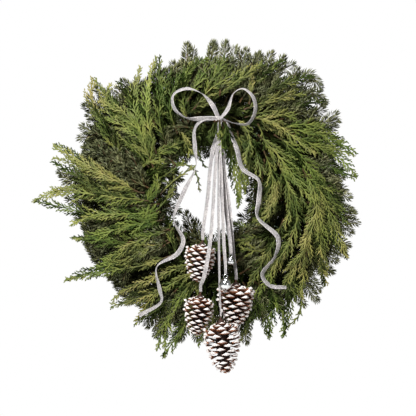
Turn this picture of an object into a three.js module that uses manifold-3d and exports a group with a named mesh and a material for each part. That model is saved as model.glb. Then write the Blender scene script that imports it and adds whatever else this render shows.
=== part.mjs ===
// A fresh evergreen wreath on a steel clamp ring: bunches of fir with cedar fronds laid over them,
// each bunch gripped by one bent clamp, a ribbon bow wired to the ring, and six ribbon streamers
// that carry four pine cones and two jingle bells.
//
// Units are millimetres. The wreath hangs upright: +X is right, +Z up, and it faces -Y.
// Every length below is laid out round the ring's centre. The last lines move the whole wreath so
// that its origin is the point where the ring's outer rail hangs on its nail.

import * as THREE from "three";
import { mergeVertices } from "three/addons/utils/BufferGeometryUtils.js";
import Module from "manifold-3d";

const wasm = await Module();
wasm.setup();

// ---- Driving dimensions ---------------------------------------------------------------------

const GAP = 0.3; // what touching pieces keep between them

// Clamp ring
const RING_R = 160; // the line that the stems lie on
const INNER_RAIL_R = 150;
const OUTER_RAIL_R = 170;
const RAIL_WIRE_R = 1.9;
const CLAMP_COUNT = 14;
const CLAMP_WIRE_R = 1.1;
const CLAMP_HALF_SPAN = 13; // from the ring line to each leg
const CLAMP_MOUTH = 3; // left open between the two bent tips
const CLAMP_PITCH = 360 / CLAMP_COUNT;

// Fir
const FIR_STEM_R = 2.6;
const TWIG_CORE_R = 1.7;
const NEEDLE = 17;
const NEEDLE_LEAN = 47; // degrees from the twig
const WHORL_STEP = 23; // between rings of needles
const WHORL_TURN = 40; // degrees from one ring of needles to the next
const NEEDLE_BASE = 3; // length of a needle's root along the twig
const TWIG_TIP_R = 0.9;
const OUTER_TWIGS = 3; // on each bunch
const OUTER_TWIG_BARE = [52, 66, 80]; // from the clamp to the first needles of each
const INNER_TWIG_BARE = 54;
const TIP_DRAW = 8; // how much the outer tips vary
const TIP_AHEAD = 15; // degrees clockwise from a clamp to its first outer tip
const FIR_BACK = 8; // depth of the twigs' axes beyond the ring
const OVER_RAILS = [17, 37]; // from the ring line, where twigs start to lie back and where they have
const INNER_REACH = [76, 90];

// Cedar
const STEM_THICK = 1.8;
const BLADE_THICK = 0.8;
const RIB_HALF = 2;
const RIB_TIP_HALF = 0.8;
const STEM_TO_BLADE = [8, 30]; // from the root, where a frond thins from stem to blade
const FREE_OF_CLAMP = [6, 34]; // from the clamp, where a frond takes up its own sheet
const TURN = 0.65; // mm of rise for each degree travelled clockwise, as shingles overlap
const LEVEL_RISE = 4.2; // between the sheets of one bunch
const LEAFLET_LEAN = 36; // degrees from the rib
const LEAFLET_STEP = 18;
const BARE_STEM = 36; // from a frond's root to its first leaflet
const STEM_PIECES = 4;
const FEWEST_LEAFLETS = 9;
const INNER_LEVEL = 1.5; // the sheet of the fronds that lean over the opening

// Ribbon
const RIBBON_W = 10;
const RIBBON_T = 0.8;
const KNOT = { x: 22, z: 149, w: 18, h: 13, back: -46, front: -58, chamfer: 3 };
const BOW_WIRE_R = 0.6;
const STREAMER_INSET = 1.4; // from the knot's front to the first streamer
const STREAMER_PITCH = 1.8; // in depth, from one streamer to the next
const STREAMER_DROP = 12; // hangs plumb this far at both ends

// Depths along Y at the clamps, from the wall side to the front
const CROSSBAR_Y = -(RAIL_WIRE_R + CLAMP_WIRE_R - 0.4);
const FIR_Y = CROSSBAR_Y - CLAMP_WIRE_R - GAP - FIR_STEM_R;
const CEDAR_Y = FIR_Y - FIR_STEM_R - GAP - STEM_THICK / 2;
const INNER_CEDAR_Y = CEDAR_Y - STEM_THICK - GAP;
const CLAMP_TIP_Y = INNER_CEDAR_Y - STEM_THICK / 2 - 2 * GAP - CLAMP_WIRE_R;

// ---- Fronds, cones, bells: where each one lies, in mm round the ring's centre ----------------

// How far out the fir tips reach, as [degrees clockwise of the top, radius]
const FIR_OUTLINE = [
  [0, 304], [6, 306], [24, 306], [41, 309], [52, 297], [63, 296], [84, 278], [99, 305], [112, 309],
  [125, 298], [136, 306], [158, 277], [168, 305], [185, 298], [198, 312], [208, 290], [225, 268],
  [250, 267], [277, 307], [292, 262], [304, 300], [314, 304], [323, 284], [345, 282], [352, 303],
  [360, 304],
];

// Outer cedar fronds, two to a clamp, counted clockwise from the top. Each leaves its clamp
// clockwise, bends at "via" and ends at "tip"; "spread" is its longest leaflet.
const OUTER_FRONDS = [
  [{ via: [115, 205], tip: [208, 238], spread: 52 }, { via: [80, 212], tip: [148, 268], spread: 46 }],
  [{ via: [190, 132], tip: [294, 84], spread: 56 }, { via: [158, 172], tip: [236, 186], spread: 50 }],
  [{ via: [212, 62], tip: [298, 32], spread: 50 }, { via: [222, 24], tip: [276, -62], spread: 54 }],
  [{ via: [205, -62], tip: [232, -186], spread: 56 }, { via: [214, -36], tip: [280, -130], spread: 52 }],
  [{ via: [176, -122], tip: [176, -212], spread: 46 }, { via: [166, -160], tip: [150, -286], spread: 44 }],
  [{ via: [98, -212], tip: [62, -296], spread: 44 }, { via: [126, -192], tip: [122, -284], spread: 46 }],
  [{ via: [-18, -214], tip: [-92, -328], spread: 52 }, { via: [12, -222], tip: [-22, -304], spread: 46 }],
  [{ via: [-96, -190], tip: [-196, -226], spread: 52 }, { via: [-74, -208], tip: [-148, -260], spread: 50 }],
  [{ via: [-168, -134], tip: [-286, -172], spread: 46 }, { via: [-162, -98], tip: [-274, -86], spread: 54 }],
  [{ via: [-205, -46], tip: [-348, -14], spread: 46 }, { via: [-196, -8], tip: [-312, 66], spread: 50 }],
  [{ via: [-206, 42], tip: [-308, 100], spread: 48 }, { via: [-186, 92], tip: [-236, 184], spread: 58 }],
  [{ via: [-168, 150], tip: [-230, 230], spread: 50 }, { via: [-142, 158], tip: [-180, 226], spread: 50 }],
  [{ via: [-98, 196], tip: [-98, 276], spread: 50 }, { via: [-62, 196], tip: [-34, 258], spread: 48 }],
  [{ via: [22, 198], tip: [108, 262], spread: 50 }, { via: [-2, 208], tip: [34, 272], spread: 46 }],
];

// Inner cedar fronds, which lean over the opening, by clamp
const INNER_FRONDS = [
  { clamp: 0, via: [82, 116], tip: [70, 58], spread: 28 },
  { clamp: 2, via: [136, 4], tip: [112, -52], spread: 34 },
  { clamp: 4, via: [112, -112], tip: [62, -110], spread: 30 },
  { clamp: 8, via: [-134, -72], tip: [-104, -22], spread: 36 },
  { clamp: 10, via: [-134, 60], tip: [-88, 66], spread: 34 },
  { clamp: 12, via: [-56, 128], tip: [-36, 78], spread: 32 },
];

// Cones hang apex down. "top" is the woody stub that the ribbon is glued to.
const CONES = [
  { name: "pine_cone_upper_left", top: [-12, -68, -96], lean: 8, length: 80, radius: 29 },
  { name: "pine_cone_lower_left", top: [-16, -82, -198], lean: 6, length: 82, radius: 28 },
  { name: "pine_cone_centre", top: [24, -106, -245], lean: -5, length: 108, radius: 34 },
  { name: "pine_cone_right", top: [54, -82, -174], lean: 1, length: 88, radius: 34 },
];
const CONE_ROWS = 9;
const CONE_COLUMNS = 8;
const CONE_CORE = 0.4; // of the outline
const SCALE_HALF = 0.36; // half a scale's tip, of a column
const SCALE_SINK = [-1, 11]; // how far scales droop, from the first row to the last
const STUB_R = 3.5;
const STUB_H = 4;

const BELLS = [
  { name: "jingle_bell_large", centre: [33, -120, -176], radius: 12 },
  { name: "jingle_bell_small", centre: [43.5, -90, -132], radius: 8.5 },
];
const BELL_WALL = 0.8;
const BELL_LOOP_WIRE = 0.7;
const BELL_SLOT = 2;
const PELLET_SHARE = 0.28; // of the bell's radius

// ---- Materials ------------------------------------------------------------------------------

function look(color, roughness, metalness = 0) {
  return new THREE.MeshStandardMaterial({ color, roughness, metalness });
}

const GREEN_WIRE = look(0x2f3d2c, 0.5, 0.5);
const FIR = look(0x3c4a33, 0.75);
const CEDAR = look(0x6f7a3e, 0.7);
const RIBBON = look(0xa9a8b0, 0.6);
const CONE = look(0x6b4130, 0.8);
const SILVER = look(0xc8ccd0, 0.2, 1);

// ---- Small helpers --------------------------------------------------------------------------

const rad = THREE.MathUtils.degToRad;
const vec = (x, y, z) => new THREE.Vector3(x, y, z);
const polar = (r, degrees, y = 0) => vec(r * Math.cos(rad(degrees)), y, r * Math.sin(rad(degrees)));
const smooth = (x, low, high) => THREE.MathUtils.smoothstep(x, low, high);
const clampAngle = (index) => 90 - (index + 0.5) * CLAMP_PITCH;

// A seeded draw, so that every build gives the same wreath
function seeded(seed) {
  let state = seed >>> 0;
  return () => {
    state = (state + 0x6d2b79f5) >>> 0;
    let t = Math.imul(state ^ (state >>> 15), state | 1);
    t ^= t + Math.imul(t ^ (t >>> 7), t | 61);
    return ((t ^ (t >>> 14)) >>> 0) / 4294967296;
  };
}

function solid(points, faces) {
  const geometry = new THREE.BufferGeometry();
  const numbers = points.flatMap((p) => [p.x, p.y, p.z]);
  geometry.setAttribute("position", new THREE.Float32BufferAttribute(numbers, 3));
  geometry.setIndex(faces.flat());
  return geometry;
}

function toManifold(geometry) {
  const bare = geometry.clone();
  bare.deleteAttribute("normal");
  bare.deleteAttribute("uv");
  const merged = mergeVertices(bare, 1e-4);
  return new wasm.Manifold(new wasm.Mesh({
    numProp: 3,
    vertProperties: new Float32Array(merged.attributes.position.array),
    triVerts: new Uint32Array(merged.index.array),
  }));
}

function fromManifold(body) {
  const mesh = body.getMesh();
  const geometry = new THREE.BufferGeometry();
  geometry.setAttribute("position", new THREE.BufferAttribute(new Float32Array(mesh.vertProperties), 3));
  geometry.setIndex(new THREE.BufferAttribute(new Uint32Array(mesh.triVerts), 1));
  return geometry;
}

function join(geometries) {
  return fromManifold(geometries.map(toManifold).reduce((whole, next) => whole.add(next)));
}

function cut(geometry, tools) {
  const whole = toManifold(geometry);
  return fromManifold(tools.map(toManifold).reduce((left, tool) => left.subtract(tool), whole));
}

function mesh(name, geometry, material) {
  const node = new THREE.Mesh(geometry, material);
  node.name = name;
  return node;
}

// A solid swept through sections with the same number of points, capped at both ends
function loft(sections) {
  const n = sections[0].length;
  const faces = [];
  for (let k = 0; k + 1 < sections.length; k += 1) {
    for (let j = 0; j < n; j += 1) {
      const a = k * n + j;
      const b = k * n + ((j + 1) % n);
      faces.push([a, b, b + n], [a, b + n, a + n]);
    }
  }
  const last = (sections.length - 1) * n;
  for (let j = 1; j + 1 < n; j += 1) {
    faces.push([0, j + 1, j], [last, last + j, last + j + 1]);
  }
  return solid(sections.flat(), faces);
}

// The section of a round wire or stem: a ring of points about a centre, square to "along"
function ringOfPoints(centre, along, radius, sides, turn = 0) {
  const helper = Math.abs(along.y) < 0.9 ? vec(0, 1, 0) : vec(1, 0, 0);
  const u = helper.clone().cross(along).normalize();
  const v = along.clone().cross(u).normalize();
  const at = (j) => rad(turn + (360 * j) / sides);
  return Array.from({ length: sides }, (_, j) => centre.clone()
    .addScaledVector(u, radius * Math.cos(at(j)))
    .addScaledVector(v, radius * Math.sin(at(j))));
}

const directions = (points) => points.map((p, k) => {
  const before = points[Math.max(k - 1, 0)];
  const after = points[Math.min(k + 1, points.length - 1)];
  return after.clone().sub(before).normalize();
});

function wire(points, radius, sides) {
  const along = directions(points);
  return loft(points.map((p, k) => ringOfPoints(p, along[k], radius, sides)));
}

// ---- Clamp ring -----------------------------------------------------------------------------

function rail(radius) {
  const sides = 5;
  const pieces = 32;
  return new THREE.TorusGeometry(radius, RAIL_WIRE_R, sides, pieces).rotateX(Math.PI / 2);
}

// One clamp: a crossbar welded over both rails, with its two legs bent over the stems
function clamp(index) {
  const angle = clampAngle(index);
  const profile = [
    [-CLAMP_MOUTH / 2, CLAMP_TIP_Y],
    [-CLAMP_HALF_SPAN, CLAMP_TIP_Y],
    [-CLAMP_HALF_SPAN, CROSSBAR_Y],
    [CLAMP_HALF_SPAN, CROSSBAR_Y],
    [CLAMP_HALF_SPAN, CLAMP_TIP_Y],
    [CLAMP_MOUTH / 2, CLAMP_TIP_Y],
  ];
  return wire(profile.map(([across, y]) => polar(RING_R + across, angle, y)), CLAMP_WIRE_R, 4);
}

function clampRing() {
  const clamps = Array.from({ length: CLAMP_COUNT }, (_, index) => clamp(index));
  return mesh("clamp_ring", join([rail(INNER_RAIL_R), rail(OUTER_RAIL_R), ...clamps]), GREEN_WIRE);
}

// ---- Fir ------------------------------------------------------------------------------------

// Twigs pass in front of the rails and lie back toward the wall beyond them.
function firDepth(r) {
  return THREE.MathUtils.lerp(FIR_Y, FIR_BACK, smooth(Math.abs(r - RING_R), ...OVER_RAILS));
}

// The route of a twig, given as [radius, degrees clockwise of its clamp] corners
function twigPath(index, corners) {
  const turns = corners.map(([r, travel]) => vec(r, 0, travel));
  const flat = new THREE.CatmullRomCurve3(turns, false, "centripetal");
  return (t) => {
    const p = flat.getPoint(t);
    return polar(p.x, clampAngle(index) - p.z, firDepth(p.x));
  };
}

// A slim three-sided core whose short rings each raise three needles, pointing out and forward
function needledTwig(path, bareUntil) {
  const steps = 90;
  const endPiece = 5;
  const fine = Array.from({ length: steps + 1 }, (_, k) => path(k / steps));
  const line = new THREE.CatmullRomCurve3(fine);
  const length = line.getLength();
  const stations = [0, bareUntil * 0.5];
  for (let at = bareUntil; at + NEEDLE_BASE < length - endPiece; at += WHORL_STEP) {
    stations.push(at, at + NEEDLE_BASE);
  }
  stations.push(length);
  const along = stations.map((at) => line.getTangentAt(Math.min(at / length, 1)));
  const radius = (at) => THREE.MathUtils.lerp(TWIG_CORE_R, TWIG_TIP_R, at / length);
  const rings = stations.map((at, k) => {
    const turn = Math.floor(k / 2) * WHORL_TURN;
    return ringOfPoints(line.getPointAt(Math.min(at / length, 1)), along[k], radius(at), 3, turn);
  });
  const tip = line.getPointAt(1).addScaledVector(along[along.length - 1], NEEDLE * 0.5);
  const points = rings.flat();
  const faces = [[0, 2, 1]];
  for (let k = 0; k + 1 < rings.length; k += 1) {
    const raised = k >= 2 && k % 2 === 0 && k + 2 < rings.length;
    for (let j = 0; j < 3; j += 1) {
      const a = k * 3 + j;
      const b = k * 3 + ((j + 1) % 3);
      const c = b + 3;
      const d = a + 3;
      if (!raised) {
        faces.push([a, b, c], [a, c, d]);
        continue;
      }
      const root = points[a].clone().add(points[b]).add(points[c]).add(points[d]).multiplyScalar(0.25);
      const out = root.clone().sub(line.getPointAt((stations[k] + NEEDLE_BASE / 2) / length)).normalize();
      const apex = root.addScaledVector(out, NEEDLE * Math.sin(rad(NEEDLE_LEAN)))
        .addScaledVector(along[k], NEEDLE * Math.cos(rad(NEEDLE_LEAN)));
      const top = points.push(apex) - 1;
      faces.push([a, b, top], [b, c, top], [c, d, top], [d, a, top]);
    }
  }
  const end = (rings.length - 1) * 3;
  const point = points.push(tip) - 1;
  faces.push([end, end + 1, point], [end + 1, end + 2, point], [end + 2, end, point]);
  return solid(points, faces);
}

// The fir's outline at an angle counted clockwise from the top
function firReach(clockwise) {
  const angle = THREE.MathUtils.euclideanModulo(clockwise, 360);
  const next = FIR_OUTLINE.findIndex(([at]) => at >= angle);
  const [from, low] = FIR_OUTLINE[Math.max(next - 1, 0)];
  const [to, high] = FIR_OUTLINE[Math.max(next, 1)];
  return THREE.MathUtils.lerp(low, high, (angle - from) / (to - from));
}

function firBunch(index) {
  const draw = seeded(1000 + index);
  const stemPath = [-6, -2, 2, 6, 9].map((travel) => polar(RING_R, clampAngle(index) - travel, FIR_Y));
  const pieces = [wire(stemPath, FIR_STEM_R, 6)];
  for (let j = 0; j < OUTER_TWIGS; j += 1) {
    const side = (CLAMP_PITCH / OUTER_TWIGS) * j;
    const tip = firReach(90 - clampAngle(index) + TIP_AHEAD + side) - NEEDLE / 2 - TIP_DRAW * draw();
    const corners = [[RING_R, 3], [RING_R + 8, 8 + side * 0.62], [200, 11 + side], [tip, TIP_AHEAD + side]];
    pieces.push(needledTwig(twigPath(index, corners), OUTER_TWIG_BARE[j]));
  }
  const innerTip = THREE.MathUtils.lerp(INNER_REACH[0], INNER_REACH[1], draw());
  const inward = [[RING_R, 3], [RING_R - 6, 9], [122, 17], [innerTip, 22]];
  pieces.push(needledTwig(twigPath(index, inward), INNER_TWIG_BARE));
  return mesh(`fir_bunch_${String(index + 1).padStart(2, "0")}`, join(pieces), FIR);
}

// ---- Cedar ----------------------------------------------------------------------------------

// Every frond lies on a sheet that rises as it travels clockwise, so that each bunch's fronds
// cover the clamp of the next bunch without touching it. "level" sets one bunch's sheets apart.
function sheetDepth(point, index, level, startY) {
  const r = Math.hypot(point.x, point.z);
  const angle = THREE.MathUtils.radToDeg(Math.atan2(point.z, point.x));
  const travel = ((((clampAngle(index) - angle) % 360) + 540) % 360) - 180;
  const away = point.distanceTo(polar(RING_R, clampAngle(index)));
  const free = smooth(away, ...FREE_OF_CLAMP);
  const climb = TURN * (travel * free + Math.max(travel, 0) * (1 - free));
  const arch = r > RING_R
    ? 7 * smooth(r, 168, 194) + 7 * smooth(r, 185, 225) - 12 * smooth(r, 235, 320)
    : 6 * smooth(-r, -152, -132);
  return startY - arch - climb - level * free * LEVEL_RISE;
}

// One thin blade in a cedar frond's outline: a rib with leaflets cut to it, on alternate sides
function cedarFrond(index, { via, tip, spread }, level, startY) {
  const angle = clampAngle(index);
  const clampPoint = polar(RING_R, angle);
  const clockwise = vec(Math.sin(rad(angle)), 0, -Math.cos(rad(angle)));
  const start = clampPoint.clone().addScaledVector(clockwise, -5);
  const leave = clampPoint.clone().addScaledVector(clockwise, 16);
  const curve = new THREE.CatmullRomCurve3(
    [start, leave, vec(via[0], 0, via[1]), vec(tip[0], 0, tip[1])], false, "centripetal");
  const length = curve.getLength();
  const firstLeaflet = STEM_PIECES;
  const leaflets = Math.round((length - BARE_STEM) / LEAFLET_STEP);
  const count = firstLeaflet + Math.max(FEWEST_LEAFLETS, leaflets);
  const stemEnd = BARE_STEM / length;
  const stationAt = (k) => (k <= firstLeaflet
    ? (stemEnd * k) / firstLeaflet
    : THREE.MathUtils.lerp(stemEnd, 1, (k - firstLeaflet) / (count - firstLeaflet)));
  const points = [];
  const faces = [];
  const put = (flat, thick) => {
    const y = sheetDepth(flat, index, level, startY);
    points.push(vec(flat.x, y - thick / 2, flat.z), vec(flat.x, y + thick / 2, flat.z));
    return points.length - 2;
  };
  const wall = (a, b) => faces.push([a, a + 1, b + 1], [a, b + 1, b]);
  const cover = (a, b, c) => faces.push([a, c, b], [a + 1, b + 1, c + 1]);
  const sideOf = (along) => vec(along.z, 0, -along.x);
  const edges = [];
  for (let k = 0; k < count; k += 1) {
    const t = stationAt(k);
    const centre = curve.getPointAt(t);
    const side = sideOf(curve.getTangentAt(t));
    const half = THREE.MathUtils.lerp(RIB_HALF, RIB_TIP_HALF, t);
    const thick = THREE.MathUtils.lerp(STEM_THICK, BLADE_THICK, smooth(t * length, ...STEM_TO_BLADE));
    edges.push([put(centre.clone().addScaledVector(side, half), thick),
      put(centre.clone().addScaledVector(side, -half), thick)]);
  }
  const end = put(curve.getPointAt(1), BLADE_THICK);
  wall(edges[0][1], edges[0][0]);
  for (let k = 0; k + 1 < count; k += 1) {
    const [right, left] = edges[k];
    const [nextRight, nextLeft] = edges[k + 1];
    cover(left, nextLeft, nextRight);
    cover(left, nextRight, right);
    const t = (stationAt(k) + stationAt(k + 1)) / 2;
    const across = k % 2 === 0 ? 1 : -1;
    let apex = null;
    if (k >= firstLeaflet) {
      const u = (k - firstLeaflet) / (count - firstLeaflet);
      const swell = 0.34 + 0.66 * Math.sin(Math.PI * (0.22 + 0.6 * u)) ** 1.5;
      const reach = spread * swell * (1 - 0.35 * u * u);
      const along = curve.getTangentAt(t);
      const lean = rad(LEAFLET_LEAN);
      apex = put(curve.getPointAt(t).addScaledVector(along, reach * Math.cos(lean))
        .addScaledVector(sideOf(along), across * reach * Math.sin(lean)), BLADE_THICK);
    }
    if (apex !== null && across > 0) {
      cover(right, nextRight, apex);
      wall(right, apex);
      wall(apex, nextRight);
    } else {
      wall(right, nextRight);
    }
    if (apex !== null && across < 0) {
      cover(nextLeft, left, apex);
      wall(nextLeft, apex);
      wall(apex, left);
    } else {
      wall(nextLeft, left);
    }
  }
  const [right, left] = edges[count - 1];
  cover(left, end, right);
  wall(right, end);
  wall(end, left);
  return solid(points, faces);
}

function cedarBunch(index) {
  const fronds = OUTER_FRONDS[index].map((frond, level) => cedarFrond(index, frond, level, CEDAR_Y));
  return mesh(`cedar_bunch_${String(index + 1).padStart(2, "0")}`, join(fronds), CEDAR);
}

function innerCedar(frond, order) {
  const geometry = cedarFrond(frond.clamp, frond, INNER_LEVEL, INNER_CEDAR_Y);
  return mesh(`cedar_inner_frond_${order + 1}`, geometry, CEDAR);
}

// ---- Ribbon ---------------------------------------------------------------------------------

// A flat ribbon along hand-laid stations [x, y, z, turn]: turn is the angle, in degrees, between
// the ribbon's width and the wreath's face.
function ribbon(stations, step) {
  const places = stations.map(([x, y, z]) => vec(x, y, z));
  const curve = new THREE.CatmullRomCurve3(places, false, "centripetal");
  const last = stations.length - 1;
  const stops = [0];
  for (let k = 0; k < last; k += 1) {
    const pieces = Math.max(1, Math.round(places[k].distanceTo(places[k + 1]) / step));
    for (let j = 1; j <= pieces; j += 1) {
      stops.push(k + j / pieces);
    }
  }
  const turnAt = (stop) => {
    const low = Math.min(Math.floor(stop), last - 1);
    return THREE.MathUtils.lerp(stations[low][3], stations[low + 1][3], stop - low);
  };
  const sections = [];
  for (const stop of stops) {
    const centre = curve.getPoint(stop / last);
    const along = curve.getTangent(stop / last);
    const inFace = vec(0, 1, 0).cross(along).normalize();
    const outOfFace = along.clone().cross(inFace).normalize();
    const turn = rad(turnAt(stop));
    const width = inFace.clone().multiplyScalar(Math.cos(turn)).addScaledVector(outOfFace, Math.sin(turn));
    const normal = along.clone().cross(width).normalize();
    const corner = (a, b) => centre.clone().addScaledVector(width, (a * RIBBON_W) / 2)
      .addScaledVector(normal, (b * RIBBON_T) / 2);
    sections.push([corner(-1, -1), corner(1, -1), corner(1, 1), corner(-1, 1)]);
  }
  return loft(sections);
}

const LEFT_LOOP = [
  [20, -52, 150, 60], [8, -51, 176, 62], [-14, -52, 200, 55], [-45, -54, 209, 48], [-70, -55, 196, 55],
  [-68, -55, 170, 62], [-45, -55, 151, 58], [-15, -54, 149, 55], [20, -52, 150, 60],
];
const RIGHT_LOOP = [
  [24, -52, 150, 120], [38, -51, 168, 118], [50, -51, 200, 125], [68, -53, 210, 130], [92, -55, 193, 125],
  [97, -55, 165, 118], [80, -55, 138, 122], [52, -54, 140, 125], [24, -52, 150, 120],
];
const LEFT_TAIL = [
  [20, -51, 149, 20], [-8, -53, 149, 35], [-27, -51, 130, 40], [-27, -50, 92, 25], [-25, -51, 55, 15],
  [-50, -52, 2, 35], [-69, -52, -52, 50], [-50, -53, -92, 40], [-62, -52, -119, 20], [-103, -51, -145, 50],
  [-97, -51, -190, 60], [-94, -50, -214, 45], [-138, -49, -242, 20],
];
const RIGHT_TAIL = [
  [24, -52, 149, 160], [37, -52, 142, 150], [45, -53, 118, 145], [56, -53, 90, 140], [68, -53, 50, 150],
  [100, -53, 26, 160], [100, -53, -12, 130], [97, -54, -45, 140], [138, -55, -88, 150],
  [132, -54, -125, 130], [107, -53, -160, 140], [122, -52, -182, 160], [155, -51, -186, 165],
];

function bow() {
  const { x, z, w, h, back, front, chamfer: c } = KNOT;
  const shape = new THREE.Shape();
  const hw = w / 2;
  const hh = h / 2;
  const corners = [[-hw + c, -hh], [hw - c, -hh], [hw, -hh + c], [hw, hh - c],
    [hw - c, hh], [-hw + c, hh], [-hw, hh - c], [-hw, -hh + c]];
  shape.setFromPoints(corners.map(([a, b]) => new THREE.Vector2(a, b)));
  const knot = new THREE.ExtrudeGeometry(shape, { depth: back - front, bevelEnabled: false });
  knot.rotateX(Math.PI / 2).translate(x, back, z);
  const step = 20;
  const parts = [LEFT_LOOP, RIGHT_LOOP, LEFT_TAIL, RIGHT_TAIL].map((stations) => ribbon(stations, step));
  return mesh("bow_ribbon", join([knot, ...parts]), RIBBON);
}

// A hairpin of florist's wire from behind the knot, round the inner rail
function bowWire() {
  const railZ = Math.sqrt(INNER_RAIL_R ** 2 - KNOT.x ** 2);
  const bend = RAIL_WIRE_R + 2 * GAP + BOW_WIRE_R;
  const front = KNOT.back + GAP;
  const points = [vec(KNOT.x, front, railZ + bend), vec(KNOT.x, -bend, railZ + bend)];
  for (let k = 0; k <= 6; k += 1) {
    const turn = rad(30 * k);
    points.push(vec(KNOT.x, bend * Math.sin(turn), railZ + bend * Math.cos(turn)));
  }
  points.push(vec(KNOT.x, -bend, railZ - bend), vec(KNOT.x, front, railZ - bend));
  return mesh("bow_wire", wire(points, BOW_WIRE_R, 4), GREEN_WIRE);
}

// Streamers hang side by side from under the knot, each in its own depth
function streamers() {
  const top = KNOT.z - KNOT.h / 2 - GAP;
  const slot = (order) => KNOT.front + STREAMER_INSET + order * STREAMER_PITCH;
  const plumb = ([x, y, z]) => [[x, y, z + STREAMER_DROP, 0], [x, y, z, 0]];
  const fromKnot = (order) => plumb([KNOT.x, slot(order), top - STREAMER_DROP]);
  const overCone = ({ top: [x, y, z], lean }) => plumb(
    [x + STUB_H * Math.sin(rad(lean)), y, z + STUB_H + STUB_R * Math.abs(Math.sin(rad(lean))) + GAP]);
  const [upperLeft, lowerLeft, centre, right] = CONES.map(overCone);
  const overBell = ({ centre: [x, y, z], radius }) => plumb([x, y, z + bellLoop(radius).top + GAP]);
  const [large, small] = BELLS.map(overBell);
  const routes = {
    streamer_large_bell: [...fromKnot(0), [22, slot(0), 90, 0], [28, -74, -40, 8], ...large],
    streamer_centre: [...fromKnot(1), [21, slot(1), 90, 0], [20, -70, -40, -8], [22, -97, -150, 5],
      [23, -108, -200, 5], ...centre],
    streamer_lower_left: [...fromKnot(2), [17, slot(2), 90, 0], [8, -67, -40, 8], [4, -97, -100, 0],
      [-1, -101, -145, -4], ...lowerLeft],
    streamer_small_bell: [...fromKnot(3), [25, slot(3), 90, 0], [36, -64, -40, 6], ...small],
    streamer_right: [...fromKnot(4), [27, slot(4), 90, 0], [41, -60, -40, -6], [49, -74, -120, 4],
      ...right],
    streamer_upper_left: [...fromKnot(5), [9, slot(5), 90, 0], [-2, -56, -10, 6], ...upperLeft],
  };
  const step = 32;
  return Object.entries(routes).map(([name, stations]) => mesh(name, ribbon(stations, step), RIBBON));
}

// ---- Pine cones -----------------------------------------------------------------------------

// Rings of points round the axis, each ring turned half a column, with a chisel-ended scale
// raised from every patch between them
function pineCone({ name, top, lean, length, radius }) {
  const outline = (u) => radius * Math.sin(Math.PI * Math.min(0.2 + 0.8 * u, 1)) ** 0.75;
  const point = (r, turn, z) => vec(r * Math.cos(turn), r * Math.sin(turn), z);
  const column = (2 * Math.PI) / CONE_COLUMNS;
  const points = [];
  const faces = [];
  for (let k = 0; k <= CONE_ROWS; k += 1) {
    const u = k / (CONE_ROWS + 0.6);
    const r = Math.max(CONE_CORE * outline(u), 2);
    for (let j = 0; j < CONE_COLUMNS; j += 1) {
      points.push(point(r, column * (j + k / 2), -length * u * 0.93));
    }
  }
  for (let k = 0; k < CONE_ROWS; k += 1) {
    const u = (k + 0.75) / (CONE_ROWS + 0.6);
    const tipR = Math.max(outline(u + 0.04), 5);
    const sink = THREE.MathUtils.lerp(...SCALE_SINK, u);
    for (let j = 0; j < CONE_COLUMNS; j += 1) {
      const a = k * CONE_COLUMNS + j;
      const b = k * CONE_COLUMNS + ((j + 1) % CONE_COLUMNS);
      const c = b + CONE_COLUMNS;
      const d = a + CONE_COLUMNS;
      const middle = column * (j + 0.75 + k / 2);
      const half = column * SCALE_HALF;
      const z = -length * u * 0.93 - sink;
      const left = points.push(point(tipR, middle - half, z)) - 1;
      const right = points.push(point(tipR, middle + half, z)) - 1;
      faces.push([a, right, b], [a, left, right], [a, d, left]);
      faces.push([d, c, right], [d, right, left], [b, right, c]);
    }
  }
  const crown = points.push(vec(0, 0, 0)) - 1;
  const foot = points.push(vec(0, 0, -length)) - 1;
  const last = CONE_ROWS * CONE_COLUMNS;
  for (let j = 0; j < CONE_COLUMNS; j += 1) {
    const next = (j + 1) % CONE_COLUMNS;
    faces.push([crown, j, next], [foot, last + next, last + j]);
  }
  const stub = new THREE.CylinderGeometry(STUB_R, STUB_R, STUB_H + 2, 6).rotateX(Math.PI / 2);
  stub.translate(0, 0, STUB_H / 2 - 1);
  const body = join([solid(points, faces), stub]);
  body.rotateY(rad(lean));
  const node = mesh(name, body, CONE);
  node.position.set(...top);
  return node;
}

// ---- Jingle bells ---------------------------------------------------------------------------

function bellLoop(radius) {
  const ringR = radius * 0.22 + 1;
  const height = radius + ringR - 0.4;
  return { ringR, height, top: height + ringR + BELL_LOOP_WIRE };
}

// A thin hollow ball with a wire loop on top and two crossed slots below, and its loose pellet
function jingleBell({ name, centre, radius }) {
  const ball = (r) => new THREE.SphereGeometry(r, 8, 6).rotateX(Math.PI / 2);
  const { ringR, height } = bellLoop(radius);
  const loop = new THREE.TorusGeometry(ringR, BELL_LOOP_WIRE, 4, 8).rotateX(Math.PI / 2);
  loop.translate(0, 0, height);
  const slotLong = radius * 1.5;
  const slot = (x, y) => new THREE.BoxGeometry(x, y, radius).translate(0, 0, -radius * 0.95);
  const slots = [slot(slotLong, BELL_SLOT), slot(BELL_SLOT, slotLong)];
  const shell = cut(join([ball(radius), loop]), [ball(radius - BELL_WALL), ...slots]);
  const pelletR = radius * PELLET_SHARE;
  const pellet = new THREE.SphereGeometry(pelletR, 8, 6);
  pellet.translate(0, 0, -(radius - BELL_WALL - pelletR) * 0.86);
  return [mesh(name, shell, SILVER), mesh(`${name}_pellet`, pellet, SILVER)].map((node) => {
    node.position.set(...centre);
    return node;
  });
}

// ---- Assembly -------------------------------------------------------------------------------

const wreath = new THREE.Group();
wreath.add(clampRing());
for (let index = 0; index < CLAMP_COUNT; index += 1) {
  wreath.add(firBunch(index), cedarBunch(index));
}
wreath.add(...INNER_FRONDS.map(innerCedar));
wreath.add(bow(), bowWire(), ...streamers());
wreath.add(...CONES.map(pineCone));
wreath.add(...BELLS.flatMap(jingleBell));

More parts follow.
